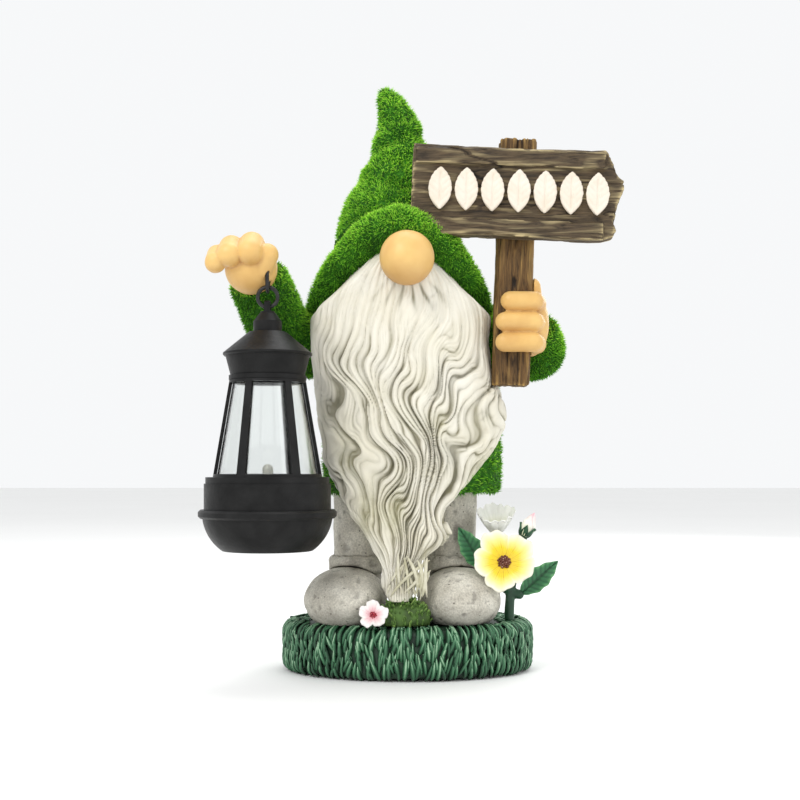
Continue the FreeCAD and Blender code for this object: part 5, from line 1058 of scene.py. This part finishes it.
def leaf(name, node, root, angle, length, half_width, curl):
    """A closed, curved leaf with a sunk midrib and side veins, leaning sideways by angle."""
    steps, spans = 60, 25
    u = np.linspace(0, 1, steps)[:, None]
    v = np.linspace(-1, 1, spans)[None, :]
    turn = math.radians(angle)
    along = np.array([math.sin(turn), 0, math.cos(turn)])
    side = np.array([math.cos(turn), 0, -math.sin(turn)])
    front = np.array([0, -1.0, 0])
    wide = half_width * np.sin(math.pi * np.clip(u, 0.02, 0.985) ** 0.85) ** 0.8 * (1 + 0.06 * np.sin(26 * u))
    rib = np.exp(-(v / 0.10) ** 2)
    vein = np.abs(np.sin(math.pi * (u * 9 - 1.2 * np.abs(v)))) ** 0.5
    bend = curl * (0.9 * np.abs(v) ** 1.5 * np.sin(math.pi * u) + 1.2 * u ** 2.4)
    level = bend - 0.55 * rib - 0.25 * (1 - vein)
    thick = 0.5 + 0.9 * (1 - np.abs(v) ** 2) * (1 - 0.6 * u)
    top = root + along * (u * length)[..., None] + side * (v * wide)[..., None] + front * level[..., None]
    under = top - front * thick[..., None]
    n = steps * spans
    verts = np.concatenate([top.reshape(-1, 3), under.reshape(-1, 3)])
    faces = grid_faces(steps, spans)
    border = np.concatenate([np.arange(spans), np.arange(1, steps) * spans + spans - 1,
                             (steps - 1) * spans + np.arange(spans - 2, -1, -1),
                             np.arange(steps - 2, 0, -1) * spans])
    after = np.roll(border, -1)
    rim = np.stack([border, after, after + n, border + n], 1)
    tone = np.clip(0.35 + 0.35 * vein - 0.35 * rib + 0.45 * np.abs(v) ** 4 + 0.1 * u, 0, 1).ravel()
    return new_piece(name, verts, [faces[:, ::-1], faces + n, rim], LEAF, slot="leaf_paint", stands_for=(node,),
                     tone=np.concatenate([tone, np.full(n, 0.3)]))


leaf("leaf_left_blade", "leaf_left", np.array([37.6, -14.6, 50.4]), -32, 24.2, 5.6, 1.3)
leaf("leaf_right_blade", "leaf_right", np.array([55.4, -12.6, 38.3]), 48, 24.2, 5.4, 1.5)


def bud():
    """A furled bud: overlapping petals wound round it, with a pink tip."""
    rows, columns = 70, 90
    lean = math.radians(26)
    axis = np.array([math.sin(lean), 0, math.cos(lean)])
    right = np.array([math.cos(lean), 0, -math.sin(lean)])
    back = np.array([0, 1.0, 0])
    root = np.array([56.5, -15, 67.0])
    s = np.linspace(0, 1, rows)[:, None]
    angle = np.linspace(0, 2 * math.pi, columns, endpoint=False)[None, :]
    swell = curve_through(s.ravel(), [0, 0.15, 0.4, 0.7, 0.9, 1], [0.72, 0.92, 1.02, 0.66, 0.30, 0.05])
    radius = 3.6 * swell[:, None]
    fold = ((3 * angle / (2 * math.pi) + 0.9 * s) % 1)
    radius = radius * (1 - 0.16 * fold ** 3 + 0.02 * np.sin(18 * angle))
    place = (root + axis * (s * 12.3)[..., None] + right * (radius * np.cos(angle))[..., None]
             + back * (radius * np.sin(angle))[..., None])
    verts = np.concatenate([place.reshape(-1, 3), [root, root + axis * 12.4]])
    j = np.arange(columns)
    k = (j + 1) % columns
    n, last = rows * columns, (rows - 1) * columns
    faces = [grid_faces(rows, columns, True), np.stack([k, j, np.full(columns, n)], 1),
             np.stack([last + j, last + k, np.full(columns, n + 1)], 1)]
    tone = np.clip(s - 0.12 + 0.25 * fold ** 6 * (s > 0.2), 0, 1).ravel()
    new_piece("flower_bud_petals", verts, faces, BUD_PAINT, stands_for=("flower_bud",), slot="blossom_paint",
              tone=np.concatenate([tone, [0, 1]]))
    parts = []
    for i in range(6):
        a = 2 * math.pi * i / 6 + 0.3
        out = right * math.cos(a) + back * math.sin(a)
        t = np.linspace(0, 1, 8)[:, None]
        path = root - axis * 1.2 + out * (0.8 + 3.3 * t ** 0.7) + axis * 6.6 * t ** 1.2
        path = path + out * 1.8 * np.maximum(t - 0.8, 0)
        parts.append(blade_strip(path, [0.9, 1.5, 1.9, 2.0, 1.8, 1.4, 0.8, 0.15], 0.55, out))
    cup = root + axis * np.array([[-2.4], [-1.2], [0.0], [1.6]])
    foot, sides = tube(cup, [1.2, 2.0, 2.5, 2.9], 16)
    parts.append((foot, sides, np.full(len(foot), 0.3)))
    verts, faces, tone = joined(parts)
    new_piece("bud_calyx_leaves", verts, faces, LEAF, stands_for=("bud_calyx",), slot="leaf_paint",
              tone=0.1 + 0.45 * tone)


bud()


def stems():
    verts, faces, normals = skin_of("flower_stems", 0.6, 3)
    ridge = noise(verts * np.array([1, 1, 0.25]), 2.4, 83)
    new_piece("flower_stems_carved", verts + normals * (0.35 * ridge + 0.1)[:, None], faces, LEAF,
              slot="leaf_paint", stands_for=("flower_stems",), tone=np.clip(0.22 + 0.22 * ridge, 0, 1))


stems()


# ---- CAD nodes that stay, with their own finish ------------------------------------------------------------

FINISH = {"steel_wire": STEEL, "black_wire": WIRE, "black_plastic": BLACK, "black_plastic_matte": MATTE_BLACK,
          "clear_plastic": CLEAR, "lamp_lens": LENS, "circuit_green": BOARD_GREEN, "cell_steel": STEEL,
          "cast_resin": RESIN, "skin_paint": SKIN, "carved_wood_paint": POST_WOOD, "painted_grass": GRASS,
          "turf_flock": TURF, "beard_paint": BEARD, "speckled_stone": STONE, "cream_paint": CREAM,
          "petal_paint": WHITE_PETAL, "blossom_paint": ROSE_LINED, "flower_heart_paint": BUTTON,
          "blossom_heart_paint": RED_BUTTON, "leaf_paint": LEAF}
SOFT_EDGES = {"lower_bowl": 0.35, "base_band": 0.45, "collar": 0.4, "roof": 0.35, "knob": 0.3,
              "post_cage": 0.35, "battery_door": 0.2, "switch_slider": 0.2, "deck": 0.2}
for node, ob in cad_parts.items():
    slot_name = ob.data.materials[0].name.split(".")[0] if ob.data.materials else "cast_resin"
    material = FINISH.get(slot_name, RESIN)
    ob.data.materials.clear()
    ob.data.materials.append(material)
    if node in SOFT_EDGES:
        bevel = ob.modifiers.new("soft_edge", "BEVEL")
        bevel.width = SOFT_EDGES[node] * MM
        bevel.segments = 3
        bevel.limit_method = "ANGLE"
        bevel.angle_limit = math.radians(35)


# ---- stage: floor, light and camera ------------------------------------------------------------------------

# The lights: name, place and width in metres, and power in watts. All of them look at AIM.
LIGHTS = (("key_light", (-0.55, -0.85, 0.95), 0.5, 6.5), ("fill_light", (0.9, -0.6, 0.55), 0.8, 2.0),
          ("top_light", (0.1, 0.25, 1.2), 0.7, 4.5), ("rim_light", (0.6, 0.9, 0.6), 0.6, 3))
AIM = (0, 0, 0.15)
FLOOR_HALF = 6.0
CAMERA_PLACE = (-0.00375, -0.600, 0.099)
CAMERA_LENS, CAMERA_SHIFT = 53.95, 0.0875

def stage():
    """A pale floor, soft light and a level camera in front."""
    floor_mesh = bpy.data.meshes.new("floor")
    corners = [(x * FLOOR_HALF, y * FLOOR_HALF, 0) for x, y in ((-1, -1), (1, -1), (1, 1), (-1, 1))]
    floor_mesh.from_pydata(corners, [], [(0, 1, 2, 3)])
    floor = bpy.data.objects.new("floor", floor_mesh)
    scene.collection.objects.link(floor)
    paint = Paint("floor_paint", 0.75)
    pale = paint.ramp(paint.cloud(400, 2), (0.3, (0.86, 0.86, 0.85)), (0.7, (0.88, 0.88, 0.87)))
    floor_mesh.materials.append(paint.finish(pale))
    world = bpy.data.worlds.new("studio")
    scene.world = world
    world.use_nodes = True
    sky = world.node_tree.nodes["Background"]
    sky.inputs["Color"].default_value = (0.97, 0.98, 0.99, 1)
    sky.inputs["Strength"].default_value = 0.96
    scene.view_settings.view_transform = "Standard"
    for name, place, size, power in LIGHTS:
        lamp = bpy.data.lights.new(name, "AREA")
        lamp.size = size
        lamp.energy = power
        ob = bpy.data.objects.new(name, lamp)
        ob.location = place
        ob.rotation_euler = (Vector(AIM) - Vector(place)).to_track_quat("-Z", "Y").to_euler()
        scene.collection.objects.link(ob)
    lens = bpy.data.cameras.new("camera")
    lens.lens = CAMERA_LENS
    lens.sensor_width = 36
    camera = bpy.data.objects.new("camera", lens)
    camera.location = CAMERA_PLACE
    camera.rotation_euler = (math.radians(90), 0, 0)
    lens.shift_y = CAMERA_SHIFT
    scene.collection.objects.link(camera)
    scene.camera = camera


stage()
